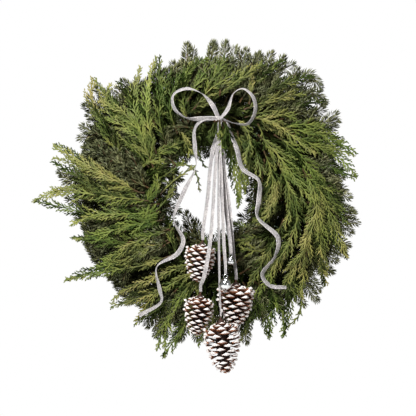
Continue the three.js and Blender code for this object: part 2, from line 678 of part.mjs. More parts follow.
// The origin is the underside of the outer rail at the top, which hangs on the nail.
wreath.position.set(0, 0, -(OUTER_RAIL_R - RAIL_WIRE_R));

export default wreath;
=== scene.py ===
"""A fresh evergreen wreath: fir and cedar greens on a clamp ring, a ribbon bow, cones and bells.

Every length in the tables is in millimetres round the ring's centre: X to the right, Z up, and
"front" is toward -Y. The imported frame's origin is the point where the ring hangs on its nail.
"""

import math

import bpy
import numpy as np
from bpy.props import FloatProperty, FloatVectorProperty, IntProperty, PointerProperty
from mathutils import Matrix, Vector


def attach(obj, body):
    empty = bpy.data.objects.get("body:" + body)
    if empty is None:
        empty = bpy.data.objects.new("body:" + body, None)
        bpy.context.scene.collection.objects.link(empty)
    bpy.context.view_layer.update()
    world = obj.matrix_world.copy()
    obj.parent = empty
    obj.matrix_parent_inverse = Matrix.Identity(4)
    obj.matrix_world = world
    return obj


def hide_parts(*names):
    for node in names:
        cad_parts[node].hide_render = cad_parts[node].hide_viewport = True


bl_info = {
    "name": "Evergreen wreath",
    "version": (1, 0, 0),
    "blender": (4, 5, 0),
    "location": "View3D > Sidebar > Wreath",
    "description": "Builds a fir and cedar wreath with a bow, cones and bells",
    "category": "Object",
}

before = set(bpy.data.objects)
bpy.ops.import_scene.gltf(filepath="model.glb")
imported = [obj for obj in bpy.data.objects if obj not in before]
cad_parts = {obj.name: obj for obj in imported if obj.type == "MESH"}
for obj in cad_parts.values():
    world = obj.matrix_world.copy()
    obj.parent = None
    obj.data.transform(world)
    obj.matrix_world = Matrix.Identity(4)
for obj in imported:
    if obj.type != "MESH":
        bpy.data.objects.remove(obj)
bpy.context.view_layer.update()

# ---- The wreath's layout, as its solids have it -----------------------------------------------

MM = 0.001
RING_R = 160.0
INNER_RAIL_R = 150.0
OUTER_RAIL_R = 170.0
RAIL_WIRE_R = 1.9
CLAMP_COUNT = 14
CLAMP_WIRE_R = 1.1
CLAMP_HALF_SPAN = 13.0
CLAMP_PITCH = 360.0 / CLAMP_COUNT
HANG = OUTER_RAIL_R - RAIL_WIRE_R  # the nail's height over the ring's centre
BOW_WIRE_R = 0.6

GAP = 0.3  # between pieces that touch
FIR_STEM_R = 2.6
FIR_BACK = 8.0  # how far the fir twigs fall back toward the wall
NEEDLE = 17.0
INNER_REACH = (76.0, 90.0)  # the nearest and furthest tips of the fir that points into the opening
STEM_THICK = 1.8
TURN = 0.65  # how far a frond rises toward the front for each degree that it travels
LEVEL_RISE = 4.2  # from one level of fronds to the next

WELD_BITE = 0.4  # how far the clamps sink into the rails
CROSSBAR_Y = -(RAIL_WIRE_R + CLAMP_WIRE_R - WELD_BITE)
FIR_Y = CROSSBAR_Y - CLAMP_WIRE_R - GAP - FIR_STEM_R
CEDAR_Y = FIR_Y - FIR_STEM_R - GAP - STEM_THICK / 2
INNER_CEDAR_Y = CEDAR_Y - STEM_THICK - GAP
CLAMP_TIP_Y = INNER_CEDAR_Y - STEM_THICK / 2 - 2 * GAP - CLAMP_WIRE_R

# degrees clockwise from the top, and how far out the fir reaches there
FIR_OUTLINE = [
    (0, 304), (6, 306), (24, 306), (41, 309), (52, 297), (63, 296), (84, 278), (99, 305), (112, 309),
    (125, 298), (136, 306), (158, 277), (168, 305), (185, 298), (198, 312), (208, 290), (225, 268),
    (250, 267), (277, 307), (292, 262), (304, 300), (314, 304), (323, 284), (345, 282), (352, 303),
    (360, 304),
]

# (via x, via z, tip x, tip z, spread) of the two outer fronds at each clamp
OUTER_FRONDS = [
    [(115, 205, 208, 238, 52), (80, 212, 148, 268, 46)],
    [(190, 132, 294, 84, 56), (158, 172, 236, 186, 50)],
    [(212, 62, 298, 32, 50), (222, 24, 276, -62, 54)],
    [(205, -62, 232, -186, 56), (214, -36, 280, -130, 52)],
    [(176, -122, 176, -212, 46), (166, -160, 150, -286, 44)],
    [(98, -212, 62, -296, 44), (126, -192, 122, -284, 46)],
    [(-18, -214, -92, -328, 52), (12, -222, -22, -304, 46)],
    [(-96, -190, -196, -226, 52), (-74, -208, -148, -260, 50)],
    [(-168, -134, -286, -172, 46), (-162, -98, -274, -86, 54)],
    [(-205, -46, -348, -14, 46), (-196, -8, -312, 66, 50)],
    [(-206, 42, -308, 100, 48), (-186, 92, -236, 184, 58)],
    [(-168, 150, -230, 230, 50), (-142, 158, -180, 226, 50)],
    [(-98, 196, -98, 276, 50), (-62, 196, -34, 258, 48)],
    [(22, 198, 108, 262, 50), (-2, 208, 34, 272, 46)],
]

# clamp number, then the same five numbers
INNER_FRONDS = [
    (0, 82, 116, 70, 58, 28),
    (2, 136, 4, 112, -52, 34),
    (4, 112, -112, 62, -110, 30),
    (8, -134, -72, -104, -22, 36),
    (10, -134, 60, -88, 66, 34),
    (12, -56, 128, -36, 78, 32),
]

# level, (radius, degrees clockwise of the clamp) along it, spread: shorter sprays in every bunch
FILL_SPRAYS = [
    (0.3, [(158, 3), (170, 18), (188, 38)], 40),
    (1.5, [(156, 2), (136, 12), (108, 32)], 34),
    (-0.5, [(152, 4), (118, 10), (86, 20)], 30),
]

# lift toward the front, shade from deep to yellow, which is partly the spray's own colour and partly
# painted shade where it lies in shadow, spread, then (x, z) along the spray: the long sprays that lie
# over the bunches and show how the greens flow
FRONT_SPRAYS = [
    # top and upper right
    (2, 0.55, 40, [(-30, 168), (0, 205), (50, 238), (112, 256)]),
    (1, 0.45, 34, [(-45, 178), (-20, 225), (5, 255), (34, 272)]),
    (3, 0.60, 20, [(82, 178), (85, 215), (88, 258)]),
    (4, 0.50, 34, [(70, 168), (115, 184), (160, 196), (196, 200)]),
    (5, 0.35, 30, [(72, 152), (112, 163), (152, 168)]),
    (12, 0.95, 34, [(84, 152), (125, 143), (170, 112), (213, 78)]),
    (6, 0.62, 26, [(112, 152), (140, 158), (176, 150)]),
    (9, 0.48, 26, [(135, 130), (180, 138), (232, 134)]),
    (7, 0.72, 32, [(150, 130), (210, 122), (270, 104)]),
    (10, 0.50, 32, [(160, 120), (215, 95), (262, 70), (298, 34)]),
    (7, 0.66, 30, [(170, 112), (225, 98), (292, 78)]),
    (3, 0.30, 26, [(40, 130), (62, 112), (100, 100)]),
    (6, 0.42, 18, [(98, 140), (108, 118), (116, 88)]),
    # right
    (14, 0.82, 44, [(98, 118), (140, 75), (172, 32), (205, -12)]),
    (10, 0.40, 36, [(130, 118), (172, 88), (205, 50), (236, 12)]),
    (12, 0.55, 34, [(110, 86), (125, 45), (128, 5), (118, -34)]),
    (13, 0.60, 36, [(138, 62), (156, 20), (162, -25), (150, -70)]),
    (15, 0.75, 44, [(186, 50), (210, 5), (212, -50), (182, -112)]),
    (12, 0.70, 42, [(198, 40), (232, -10), (250, -62), (276, -128)]),
    (11, 0.66, 40, [(200, 5), (222, -50), (224, -110), (234, -184)]),
    (9, 0.48, 40, [(162, 10), (176, -45), (160, -98), (124, -150)]),
    (12, 0.60, 40, [(196, -55), (196, -105), (168, -150), (150, -196)]),
    (7, 0.35, 34, [(150, -50), (128, -100), (100, -150), (78, -188)]),
    (8, 0.52, 32, [(168, -78), (140, -130), (116, -172), (98, -206)]),
    (8, 0.56, 30, [(196, -112), (190, -160), (184, -208)]),
    # lower right and bottom
    (2, 0.40, 36, [(118, -150), (128, -200), (150, -245), (150, -286)]),
    (0, 0.50, 16, [(182, -168), (186, -215), (180, -245), (150, -272)]),
    (1, 0.36, 34, [(100, -165), (104, -210), (112, -252), (122, -290)]),
    (0, 0.28, 36, [(40, -165), (42, -215), (52, -262)]),
    (0, 0.32, 36, [(-5, -150), (-20, -205), (-46, -255), (-58, -292)]),
    # lower left
    (4, 0.62, 30, [(10, -120), (-55, -146), (-115, -170), (-165, -192), (-196, -214)]),
    (3, 0.58, 26, [(0, -140), (-60, -172), (-110, -205), (-146, -256)]),
    (1, 0.42, 34, [(0, -160), (-48, -200), (-82, -245), (-104, -316)]),
    (1, 0.48, 26, [(-20, -160), (-62, -215), (-84, -270), (-88, -330)]),
    (7, 0.45, 30, [(-72, -122), (-130, -142), (-205, -155), (-288, -173)]),
    (8, 0.40, 40, [(-80, -92), (-130, -112), (-178, -136), (-226, -147)]),
    (9, 0.44, 38, [(-78, -70), (-128, -88), (-170, -112), (-212, -134)]),
    (9, 0.60, 38, [(-92, -52), (-150, -62), (-210, -78), (-266, -92)]),
    (11, 0.62, 36, [(-95, -36), (-160, -40), (-225, -42), (-276, -62)]),
    # left and upper left
    (8, 0.66, 44, [(-118, -14), (-190, -6), (-262, 2), (-318, 0), (-350, -14)]),
    (6, 0.55, 34, [(-128, 2), (-190, 10), (-250, 18), (-318, 2)]),
    (10, 0.92, 36, [(-140, 4), (-192, 30), (-250, 62), (-312, 96)]),
    (8, 0.80, 30, [(-160, 18), (-215, 36), (-262, 58), (-312, 74)]),
    (10, 0.60, 20, [(-104, -8), (-102, 30), (-96, 76)]),
    (8, 0.74, 40, [(-108, 50), (-126, 110), (-170, 160), (-218, 184)]),
    (10, 0.80, 36, [(-110, 52), (-134, 120), (-150, 190), (-136, 254)]),
    (7, 0.62, 36, [(-112, 60), (-138, 108), (-174, 138), (-210, 152)]),
    (5, 0.52, 32, [(-118, 52), (-146, 88), (-188, 122)]),
    (8, 0.72, 34, [(-104, 80), (-122, 150), (-122, 215), (-102, 276)]),
    (3, 0.98, 30, [(-190, 128), (-222, 160), (-236, 196), (-230, 234)]),
    (3, 0.92, 26, [(-182, 140), (-208, 178), (-196, 222)]),
    (5, 0.30, 34, [(-84, 96), (-98, 150), (-92, 205), (-72, 250)]),
    (4, 0.34, 34, [(-62, 120), (-78, 175), (-62, 225), (-30, 262)]),
    (3, 0.40, 34, [(-40, 142), (-52, 200), (-38, 245), (0, 274)]),
    (4, 0.26, 22, [(-92, 92), (-66, 98), (-38, 108)]),
    (2, 0.58, 18, [(-96, 0), (-70, 26), (-24, 58)]),
    (0, 0.50, 20, [(-108, 26), (-84, 40), (-46, 66)]),
    (1, 0.44, 20, [(-104, -34), (-84, -10), (-66, 20)]),
    # in front of the streamers' tops, most of them dark with painted shade
    (31, 0.14, 14, [(14, 145), (6, 128), (-2, 108)]),
    (33, 0.60, 9, [(22, 146), (25, 122), (26, 76)]),
    (30, 0.20, 18, [(32, 144), (40, 124), (44, 98)]),
    (32, 0.10, 12, [(18, 146), (15, 128), (18, 112)]),
    (34, 0.16, 12, [(28, 146), (34, 128), (34, 106)]),
    (31, 0.06, 14, [(12, 146), (10, 130), (9, 114)]),
    (33, 0.14, 12, [(22, 144), (22, 126), (23, 106)]),
    (30, 0.16, 16, [(34, 138), (33, 112), (34, 84)]),
    (32, 0.14, 14, [(29, 134), (29, 110), (30, 88)]),
    # over the hole: the deep ones are dark with painted shade
    (8, 0.5, 28, [(40, 128), (46, 80), (54, 30), (62, -24)]),
    (7, 0.55, 26, [(48, 124), (58, 72), (62, 24), (60, -30)]),
    (5, 0.4, 22, [(44, 112), (44, 66), (44, 28)]),
    (-6, 0.14, 26, [(-14, 150), (-22, 108), (-20, 80)]),
    (-5, 0.24, 26, [(-64, 134), (-62, 100), (-60, 66)]),
    (-4, 0.16, 30, [(-52, 146), (-58, 112), (-52, 74)]),
    (-6, 0.14, 30, [(-30, 152), (-34, 112), (-28, 80)]),
    (-5, 0.08, 28, [(-6, 152), (-10, 116), (-12, 84)]),
    (-6, 0.12, 28, [(38, 150), (38, 112), (34, 80)]),
    (6, 0.42, 26, [(58, 126), (62, 84), (70, 40), (72, 8)]),
    (4, 0.40, 20, [(84, 96), (82, 50), (72, 2)]),
    (-3, 0.30, 9, [(-34, 128), (-24, 96), (-16, 72), (-6, 52)]),
    (-1, 0.42, 9, [(-74, 52), (-52, 60), (-30, 50), (-20, 24), (-19, 6)]),
]

# depth behind the rounded front (less is nearer), shade, which is partly the twig's own colour and partly
# painted shade, length of the side shoots, then (x, z) along the twig: the fir that shows between the
# cedar and round the rim
FIR_SPRAYS = [
    # top
    (6, 0.42, 26, [(-36, 190), (-44, 245), (-42, 297)]),
    (5, 0.50, 24, [(0, 196), (2, 250), (10, 301)]),
    (4, 0.52, 24, [(22, 196), (30, 250), (34, 301)]),
    (5, 0.48, 28, [(46, 190), (64, 240), (75, 286)]),
    (3, 0.46, 34, [(62, 182), (88, 230), (101, 278)]),
    (7, 0.28, 32, [(80, 180), (108, 236), (126, 280)]),
    (5, 0.44, 30, [(92, 170), (128, 222), (149, 272)]),
    # upper right
    (2, 0.46, 26, [(112, 176), (162, 222), (204, 238), (222, 214)]),
    (4, 0.50, 30, [(124, 160), (172, 188), (206, 204), (232, 186)]),
    (3, 0.42, 28, [(136, 146), (178, 160), (206, 164)]),
    (4, 0.46, 28, [(166, 118), (214, 142), (256, 144)]),
    (5, 0.78, 28, [(182, 66), (228, 56), (266, 34)]),
    (6, 0.72, 26, [(180, 36), (222, 34), (256, 14)]),
    (5, 0.60, 26, [(196, 12), (242, 6), (280, -6)]),
    # right rim
    (6, 0.46, 28, [(190, -16), (236, -22), (282, -32)]),
    (6, 0.42, 28, [(192, -42), (244, -50), (296, -57)]),
    (6, 0.40, 28, [(190, -72), (240, -88), (278, -102)]),
    (7, 0.38, 26, [(186, -92), (224, -116), (254, -132)]),
    (7, 0.40, 26, [(178, -118), (214, -140), (246, -155)]),
    (7, 0.40, 24, [(162, -148), (192, -182), (216, -210)]),
    # inside, lower right
    (2, 0.52, 26, [(44, -104), (72, -78), (108, -64)]),
    (3, 0.50, 28, [(48, -142), (78, -120), (104, -102)]),
    (4, 0.48, 26, [(62, -160), (92, -142), (122, -130)]),
    (4, 0.58, 28, [(68, -176), (94, -208), (122, -240)]),
    (5, 0.50, 26, [(88, -172), (124, -202), (146, -228)]),
    # bottom
    (5, 0.40, 24, [(56, -196), (70, -246), (76, -294)]),
    (6, 0.34, 24, [(-8, -206), (-18, -250), (-24, -288)]),
    (5, 0.36, 26, [(-28, -200), (-48, -246), (-64, -290)]),
    (4, 0.36, 28, [(-42, -196), (-78, -240), (-104, -282)]),
    (5, 0.34, 28, [(-60, -186), (-96, -228), (-122, -262)]),
    # lower left rim
    (6, 0.30, 28, [(-140, -118), (-168, -148), (-194, -168)]),
    (6, 0.28, 30, [(-152, -92), (-194, -116), (-226, -130)]),
    (6, 0.30, 30, [(-162, -72), (-206, -90), (-242, -96)]),
    (6, 0.32, 28, [(-164, -46), (-208, -60), (-246, -65)]),
    # left
    (-5, 0.52, 26, [(-74, -94), (-108, -114), (-140, -124)]),
    (-4, 0.46, 26, [(-70, -70), (-104, -88), (-138, -94)]),
    (1, 0.50, 26, [(-98, -20), (-148, -24), (-196, -18)]),
    (4, 0.62, 28, [(-150, 8), (-204, 22), (-256, 36), (-296, 43)]),
    (2, 0.48, 30, [(-112, 8), (-158, 30), (-204, 46), (-242, 54)]),
    (1, 0.40, 32, [(-122, 34), (-168, 58), (-208, 78), (-246, 92)]),
    # upper left
    (3, 0.32, 32, [(-128, 62), (-178, 94), (-218, 118), (-250, 134)]),
    (4, 0.28, 32, [(-120, 90), (-168, 128), (-212, 158), (-246, 176)]),
    (4, 0.34, 28, [(-126, 118), (-166, 160), (-202, 190), (-222, 210)]),
    (5, 0.30, 26, [(-106, 138), (-134, 186), (-158, 212), (-170, 224)]),
    (0, 0.36, 26, [(-24, 130), (-58, 134), (-88, 120)]),
    (0, 0.38, 24, [(-66, 56), (-84, 84), (-84, 116)]),
    # into the opening
    (14, 0.36, 20, [(-22, -134), (-30, -86), (-44, -42)]),
    (13, 0.40, 20, [(-4, -136), (-12, -96), (-26, -58)]),
    (14, 0.36, 22, [(-44, -124), (-60, -90), (-78, -66)]),
    (14, 0.44, 22, [(26, -134), (42, -98), (60, -74)]),
    (15, 0.34, 18, [(-48, 130), (-40, 96), (-44, 72)]),
    (15, 0.32, 18, [(10, 140), (8, 104), (-4, 80)]),
    (15, 0.34, 18, [(-84, 60), (-70, 34), (-74, 6)]),
    (12, 0.42, 20, [(-114, 56), (-86, 46), (-58, 32)]),
    (12, 0.38, 22, [(-112, 18), (-86, 8), (-64, -6)]),
    (12, 0.34, 20, [(-108, -12), (-84, -22), (-62, -34)]),
    (9, 0.30, 0, [(98, 88), (94, 42), (92, -6), (84, -54)]),
    (6, 0.24, 0, [(112, 70), (108, 26), (106, -20), (98, -66)]),
    (9, 0.30, 0, [(-104, 34), (-95, -6), (-90, -52)]),
]

# the rounded front of the greens: its depth at the rim, and the height, radius and reach of its crown
FRONT_Y = -22.0
DOME_H = 18.0
DOME_R = 190.0
DOME_REACH = 75.0

# name: (top x, y, z, lean in degrees, length, radius)
CONES = {
    "pine_cone_upper_left": (-12, -68, -96, 8, 80, 29),
    "pine_cone_lower_left": (-16, -82, -198, 6, 82, 28),
    "pine_cone_centre": (24, -106, -245, -5, 108, 34),
    "pine_cone_right": (54, -82, -174, 1, 88, 34),
}
STUB_R = 3.5
STUB_H = 4.0

# name: (x, y, z, radius)
BELLS = {
    "jingle_bell_large": (33, -120, -176, 12.0),
    "jingle_bell_small": (43.5, -90, -132, 8.5),
}
BELL_WALL = 0.8
BELL_LOOP_WIRE = 0.7

RIBBON_W = 10.0
KNOT_X = 22.0
KNOT_Z = 149.0
KNOT_W = 18.0
KNOT_H = 13.0
KNOT_BACK = -46.0
KNOT_FRONT = -58.0

# the bow's four stretches as (x, y, z, turn): at no turn the ribbon faces the front
LEFT_LOOP = [
    (20, -52, 150, 45), (8, -51, 176, 20), (-14, -52, 200, 86), (-45, -54, 209, 48), (-70, -55, 196, 66),
    (-68, -55, 170, 46), (-45, -55, 151, 84), (-15, -54, 149, 20), (20, -52, 150, 45),
]
RIGHT_LOOP = [
    (24, -52, 150, 120), (38, -51, 168, 142), (50, -51, 200, 96), (68, -53, 209, 108), (88, -55, 193, 136),
    (93, -55, 165, 134), (78, -55, 139, 120), (52, -54, 140, 95), (24, -52, 150, 100),
]
LEFT_TAIL = [
    (20, -51, 149, 30), (-8, -53, 149, 40), (-27, -51, 130, 62), (-27, -50, 92, 34), (-25, -51, 55, 86),
    (-50, -52, 2, 20), (-69, -52, -52, 76), (-50, -53, -92, 34), (-62, -52, -119, 24), (-103, -51, -145, 82),
    (-97, -51, -190, 38), (-94, -50, -214, 66), (-138, -49, -242, 38),
]
RIGHT_TAIL = [
    (24, -52, 149, 160), (37, -52, 142, 112), (45, -53, 118, 130), (56, -53, 90, 160), (68, -53, 50, 146),
    (100, -53, 26, 128), (100, -53, -12, 168), (97, -54, -45, 120), (138, -55, -88, 160),
    (132, -54, -125, 122), (107, -53, -160, 138), (122, -52, -182, 138), (155, -51, -186, 128),
]


# ---- Sizes and colours a user would change ----------------------------------------------------


class CedarSettings(bpy.types.PropertyGroup):
    """The cedar fronds"""

    branchlet_step: FloatProperty(
        name="Branchlet step",
        description="Distance between branchlets along a frond",
        default=6.4 * MM,
        unit="LENGTH",
    )
    leaf_width: FloatProperty(
        name="Leaf width",
        description="Width of a scale-leaved branchlet",
        default=2.9 * MM,
        unit="LENGTH",
    )
    seed: IntProperty(name="Seed", description="Seed of the fronds' variation", default=11)
    colour: FloatVectorProperty(
        name="Leaf colour",
        description="Colour of the cedar",
        default=(0.178, 0.203, 0.044),
        subtype="COLOR",
    )


class FirSettings(bpy.types.PropertyGroup):
    """The fir twigs"""

    needle_length: FloatProperty(
        name="Needle length",
        description="Length of a needle",
        default=18 * MM,
        unit="LENGTH",
    )
    needles_per_cm: FloatProperty(
        name="Needles per cm",
        description="Needles on each centimetre of twig",
        default=11.0,
    )
    seed: IntProperty(name="Seed", description="Seed of the twigs' variation", default=23)
    colour: FloatVectorProperty(
        name="Needle colour",
        description="Colour of the fir",
        default=(0.148, 0.160, 0.073),
        subtype="COLOR",
    )


class ConeSettings(bpy.types.PropertyGroup):
    """The pine cones"""

    scales: IntProperty(name="Scales", description="Scales on each cone", default=88)
    colour: FloatVectorProperty(
        name="Scale colour",
        description="Colour of the woody scales",
        default=(0.23, 0.082, 0.034),
        subtype="COLOR",
    )
    frost: FloatVectorProperty(
        name="Frost colour",
        description="Colour of the painted tips",
        default=(0.80, 0.76, 0.73),
        subtype="COLOR",
    )


class RibbonSettings(bpy.types.PropertyGroup):
    """The bow and its streamers"""

    thickness: FloatProperty(
        name="Thickness",
        description="Thickness of the ribbon",
        default=0.6 * MM,
        unit="LENGTH",
    )
    colour: FloatVectorProperty(
        name="Ribbon colour",
        description="Colour of the ribbon",
        default=(0.475, 0.45, 0.445),
        subtype="COLOR",
    )


class StageSettings(bpy.types.PropertyGroup):
    """The camera, the lights and the floor"""

    room_light: FloatProperty(
        name="Room light",
        description="Strength of the light from all round",
        default=0.2,
    )
    key_light: FloatProperty(
        name="Key light",
        description="Power of the main lamp",
        default=115.0,
        unit="POWER",
    )
    view_width: FloatProperty(
        name="View width",
        description="Width seen at the wreath",
        default=0.832,
        unit="LENGTH",
    )
    camera_distance: FloatProperty(
        name="Camera distance",
        description="From the camera to the wreath",
        default=3.2,
        unit="LENGTH",
    )


# ---- Curves and layout rules --------------------------------------------------------------------


def polar(r, degrees):
    return np.array([r * math.cos(math.radians(degrees)), r * math.sin(math.radians(degrees))])


def smooth(x, low, high):
    t = np.clip((x - low) / (high - low), 0, 1)
    return t * t * (3 - 2 * t)


def clamp_angle(index):
    return 90 - (index + 0.5) * CLAMP_PITCH


def seeded(seed):
    """The same draw that places the fir tips in the solids."""
    state = seed & 0xFFFFFFFF

    def draw():
        nonlocal state
        state = (state + 0x6D2B79F5) & 0xFFFFFFFF
        t = ((state ^ (state >> 15)) * (state | 1)) & 0xFFFFFFFF
        t ^= (t + (((t ^ (t >> 7)) * (t | 61)) & 0xFFFFFFFF)) & 0xFFFFFFFF
        return ((t ^ (t >> 14)) & 0xFFFFFFFF) / 4294967296

    return draw


def catmull(points, pieces):
    """A centripetal Catmull-Rom curve through the points, with so many pieces for each span."""
    p = np.asarray(points, float)
    p = np.vstack([2 * p[0] - p[1], p, 2 * p[-1] - p[-2]])
    out = []
    for a, b, c, d in zip(p[:-3], p[1:-2], p[2:-1], p[3:]):
        da, db, dc = (max(np.linalg.norm(v) ** 0.5, 1e-4) for v in (b - a, c - b, d - c))
        m1 = ((b - a) / da - (c - a) / (da + db) + (c - b) / db) * db
        m2 = ((c - b) / db - (d - b) / (db + dc) + (d - c) / dc) * db
        t = np.linspace(0, 1, pieces, endpoint=False)[:, None]
        t2, t3 = t * t, t * t * t
        out.append(
            (2 * t3 - 3 * t2 + 1) * b + (t3 - 2 * t2 + t) * m1 + (3 * t2 - 2 * t3) * c + (t3 - t2) * m2
        )
    out.append(p[-2][None, :])
    return np.vstack(out)


class Line:
    """A polyline that can be read at any distance along it."""

    def __init__(self, points):
        self.points = np.asarray(points, float)
        steps = np.linalg.norm(np.diff(self.points, axis=0), axis=1)
        self.at = np.concatenate([[0], np.cumsum(steps)])
        self.length = self.at[-1]

    def point(self, s):
        s = np.clip(s, 0, self.length)
        return np.stack([np.interp(s, self.at, c) for c in self.points.T], -1)

    def direction(self, s):
        d = self.point(np.asarray(s) + 0.5) - self.point(np.asarray(s) - 0.5)
        return d / np.maximum(np.linalg.norm(d, axis=-1, keepdims=True), 1e-9)


CLAMP_HOLD = (6, 34)  # from its clamp, where a frond begins to rise and is free
OUTER_SWELLS = ((7, 168, 194), (7, 185, 225), (-12, 235, 320))  # height, and the radii it rises between
INNER_SWELL = 6
INNER_SWELL_RADII = (152, 132)
FIR_BEND = (17, 37)  # from the ring's middle, where the fir begins to fall back and has done so


def sheet_depth(x, z, index, level, start_y):
    """The surface that a frond lies on: it rises as it goes clockwise, as shingles overlap."""
    r = np.hypot(x, z)
    travel = (clamp_angle(index) - np.degrees(np.arctan2(z, x)) + 540) % 360 - 180
    root = polar(RING_R, clamp_angle(index))
    free = smooth(np.hypot(x - root[0], z - root[1]), *CLAMP_HOLD)
    climb = TURN * (travel * free + np.maximum(travel, 0) * (1 - free))
    outer = sum(height * smooth(r, start, end) for height, start, end in OUTER_SWELLS)
    start, end = INNER_SWELL_RADII
    arch = np.where(r > RING_R, outer, INNER_SWELL * smooth(-r, -start, -end))
    return start_y - arch - climb - level * free * LEVEL_RISE


def fir_depth(r):
    return FIR_Y + (FIR_BACK - FIR_Y) * smooth(np.abs(r - RING_R), *FIR_BEND)


def fir_reach(clockwise):
    at, reach = zip(*FIR_OUTLINE)
    return float(np.interp(clockwise % 360, at, reach))


# ---- Meshes -------------------------------------------------------------------------------------


# Painted shade on the greens that lie deep behind the rounded front
PAINTED_DEEP_SHADE = 0.85
PAINTED_SHADE_DEPTH = (-2, 15)  # behind the rounded front, where the painted shade begins and is full
PAINTED_SHADE_RIM = (225, 265)  # the radii between which the painted shade fades away


class Soup:
    """Vertices and faces gathered for one mesh, with a tone and a place along the leaf for each vertex."""

    def __init__(self):
        self.points, self.tones, self.alongs, self.quads, self.triangles = [], [], [], [], []
        self.count = 0

    def add(self, points, quads=None, triangles=None, tone=0.5, along=0.0):
        """points is (n, 3) in millimetres round the ring's centre."""
        points = np.asarray(points, float).reshape(-1, 3)
        n = len(points)
        self.points.append(points)
        self.tones.append(np.broadcast_to(np.asarray(tone, float), (n,)))
        self.alongs.append(np.broadcast_to(np.asarray(along, float), (n,)))
        for faces, kept in ((quads, self.quads), (triangles, self.triangles)):
            if faces is not None and len(faces):
                kept.append(np.asarray(faces, np.int64) + self.count)
        self.count += n

    def paint_inner_shade(self):
        """Darken the tone of what lies behind the rounded front, where less light reaches: a painted shade.
        """
        for k, block in enumerate(self.points):
            behind = block[:, 1] - dome(0)(block[:, 0], block[:, 2])
            within = 1 - smooth(np.hypot(block[:, 0], block[:, 2]), *PAINTED_SHADE_RIM)
            self.tones[k] = self.tones[k] * (1 - PAINTED_DEEP_SHADE * within * smooth(behind, *PAINTED_SHADE_DEPTH))

    def mesh(self, name):
        points = np.vstack(self.points) * MM
        points[:, 2] -= HANG * MM
        quads = np.vstack(self.quads) if self.quads else np.zeros((0, 4), np.int64)
        triangles = np.vstack(self.triangles) if self.triangles else np.zeros((0, 3), np.int64)
        mesh = bpy.data.meshes.new(name)
        mesh.vertices.add(len(points))
        mesh.vertices.foreach_set("co", points.astype(np.float32).ravel())
        corners = np.concatenate([quads.ravel(), triangles.ravel()]).astype(np.int32)
        sizes = np.concatenate([np.full(len(quads), 4), np.full(len(triangles), 3)]).astype(np.int32)
        mesh.loops.add(len(corners))
        mesh.loops.foreach_set("vertex_index", corners)
        mesh.polygons.add(len(sizes))
        mesh.polygons.foreach_set("loop_start", (np.cumsum(sizes) - sizes).astype(np.int32))
        for label, values in (("tone", self.tones), ("along", self.alongs)):
            data = mesh.attributes.new(label, "FLOAT", "POINT")
            data.data.foreach_set("value", np.concatenate(values).astype(np.float32))
        mesh.update(calc_edges=True)
        mesh.validate()
        mesh.shade_smooth()
        return mesh


def make_piece(name, soup, material, replaced):
    piece = bpy.data.objects.new(name, soup.mesh(name))
    bpy.context.collection.objects.link(piece)
    piece.data.materials.append(material)
    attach(piece, "root")
    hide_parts(*replaced)
    return piece


def ring_faces(rings, sides, root_end=True):
    """Quads and end triangles of a tube whose rings lie one after another."""
    k = np.arange(rings - 1)[:, None] * sides
    j = np.arange(sides)[None, :]
    a, b = k + j, k + (j + 1) % sides
    quads = np.stack([a, b, b + sides, a + sides], -1).reshape(-1, 4)
    fan = np.array([(0, i + 1, i) for i in range(1, sides - 1)])
    far_end = fan[:, ::-1] + (rings - 1) * sides
    return quads, np.vstack([fan, far_end]) if root_end else far_end


def frames_along(points):
    """Two directions square to a polyline at each of its points, turning as little as they can."""
    p = np.asarray(points, float)
    t = np.gradient(p, axis=0)
    t /= np.maximum(np.linalg.norm(t, axis=1, keepdims=True), 1e-9)
    u = np.zeros_like(t)
    first = np.cross((0, 1, 0), t[0])
    if np.linalg.norm(first) < 0.2:
        first = np.cross((1, 0, 0), t[0])
    u[0] = first / np.linalg.norm(first)
    for k in range(1, len(t)):
        step = u[k - 1] - t[k] * np.dot(u[k - 1], t[k])
        u[k] = step / max(np.linalg.norm(step), 1e-9)
    return t, u, np.cross(t, u)


def tube(soup, points, radii, sides=8, tone=0.5, along=0.0):
    points = np.asarray(points, float)
    _, u, v = frames_along(points)
    turn = np.linspace(0, 2 * np.pi, sides, endpoint=False)[None, :, None]
    radii = np.broadcast_to(np.asarray(radii, float), (len(points),))[:, None, None]
    rings = points[:, None] + radii * (np.cos(turn) * u[:, None] + np.sin(turn) * v[:, None])
    quads, ends = ring_faces(len(points), sides)
    soup.add(rings, quads, ends, tone, along)


# ---- Materials ----------------------------------------------------------------------------------


def new_material(name, roughness, **sockets):
    """A material with a Principled shader whose plain values are set on its own sockets."""
    material = bpy.data.materials.new(name)
    material.use_nodes = True
    shader = material.node_tree.nodes["Principled BSDF"]
    shader.inputs["Roughness"].default_value = roughness
    for socket, value in sockets.items():
        shader.inputs[socket.replace("_", " ")].default_value = value
    return material, material.node_tree, shader


def node(tree, kind, **values):
    made = tree.nodes.new(kind)
    for key, value in values.items():
        if key in made.inputs:
            made.inputs[key].default_value = value
        else:
            setattr(made, key, value)
    return made


def feed(tree, source, socket):
    """Give a socket a plain number, a colour or another socket's output."""
    if isinstance(source, (int, float)):
        socket.default_value = source
    elif isinstance(source, tuple):
        socket.default_value = (*source, 1)
    else:
        tree.links.new(source, socket)


def attribute(tree, name):
    return node(tree, "ShaderNodeAttribute", attribute_name=name).outputs["Fac"]


def noise(tree, scale, detail=3.0):
    made = node(tree, "ShaderNodeTexNoise", Scale=scale, Detail=detail)
    tree.links.new(node(tree, "ShaderNodeTexCoord").outputs["Object"], made.inputs["Vector"])
    return made.outputs["Fac"]


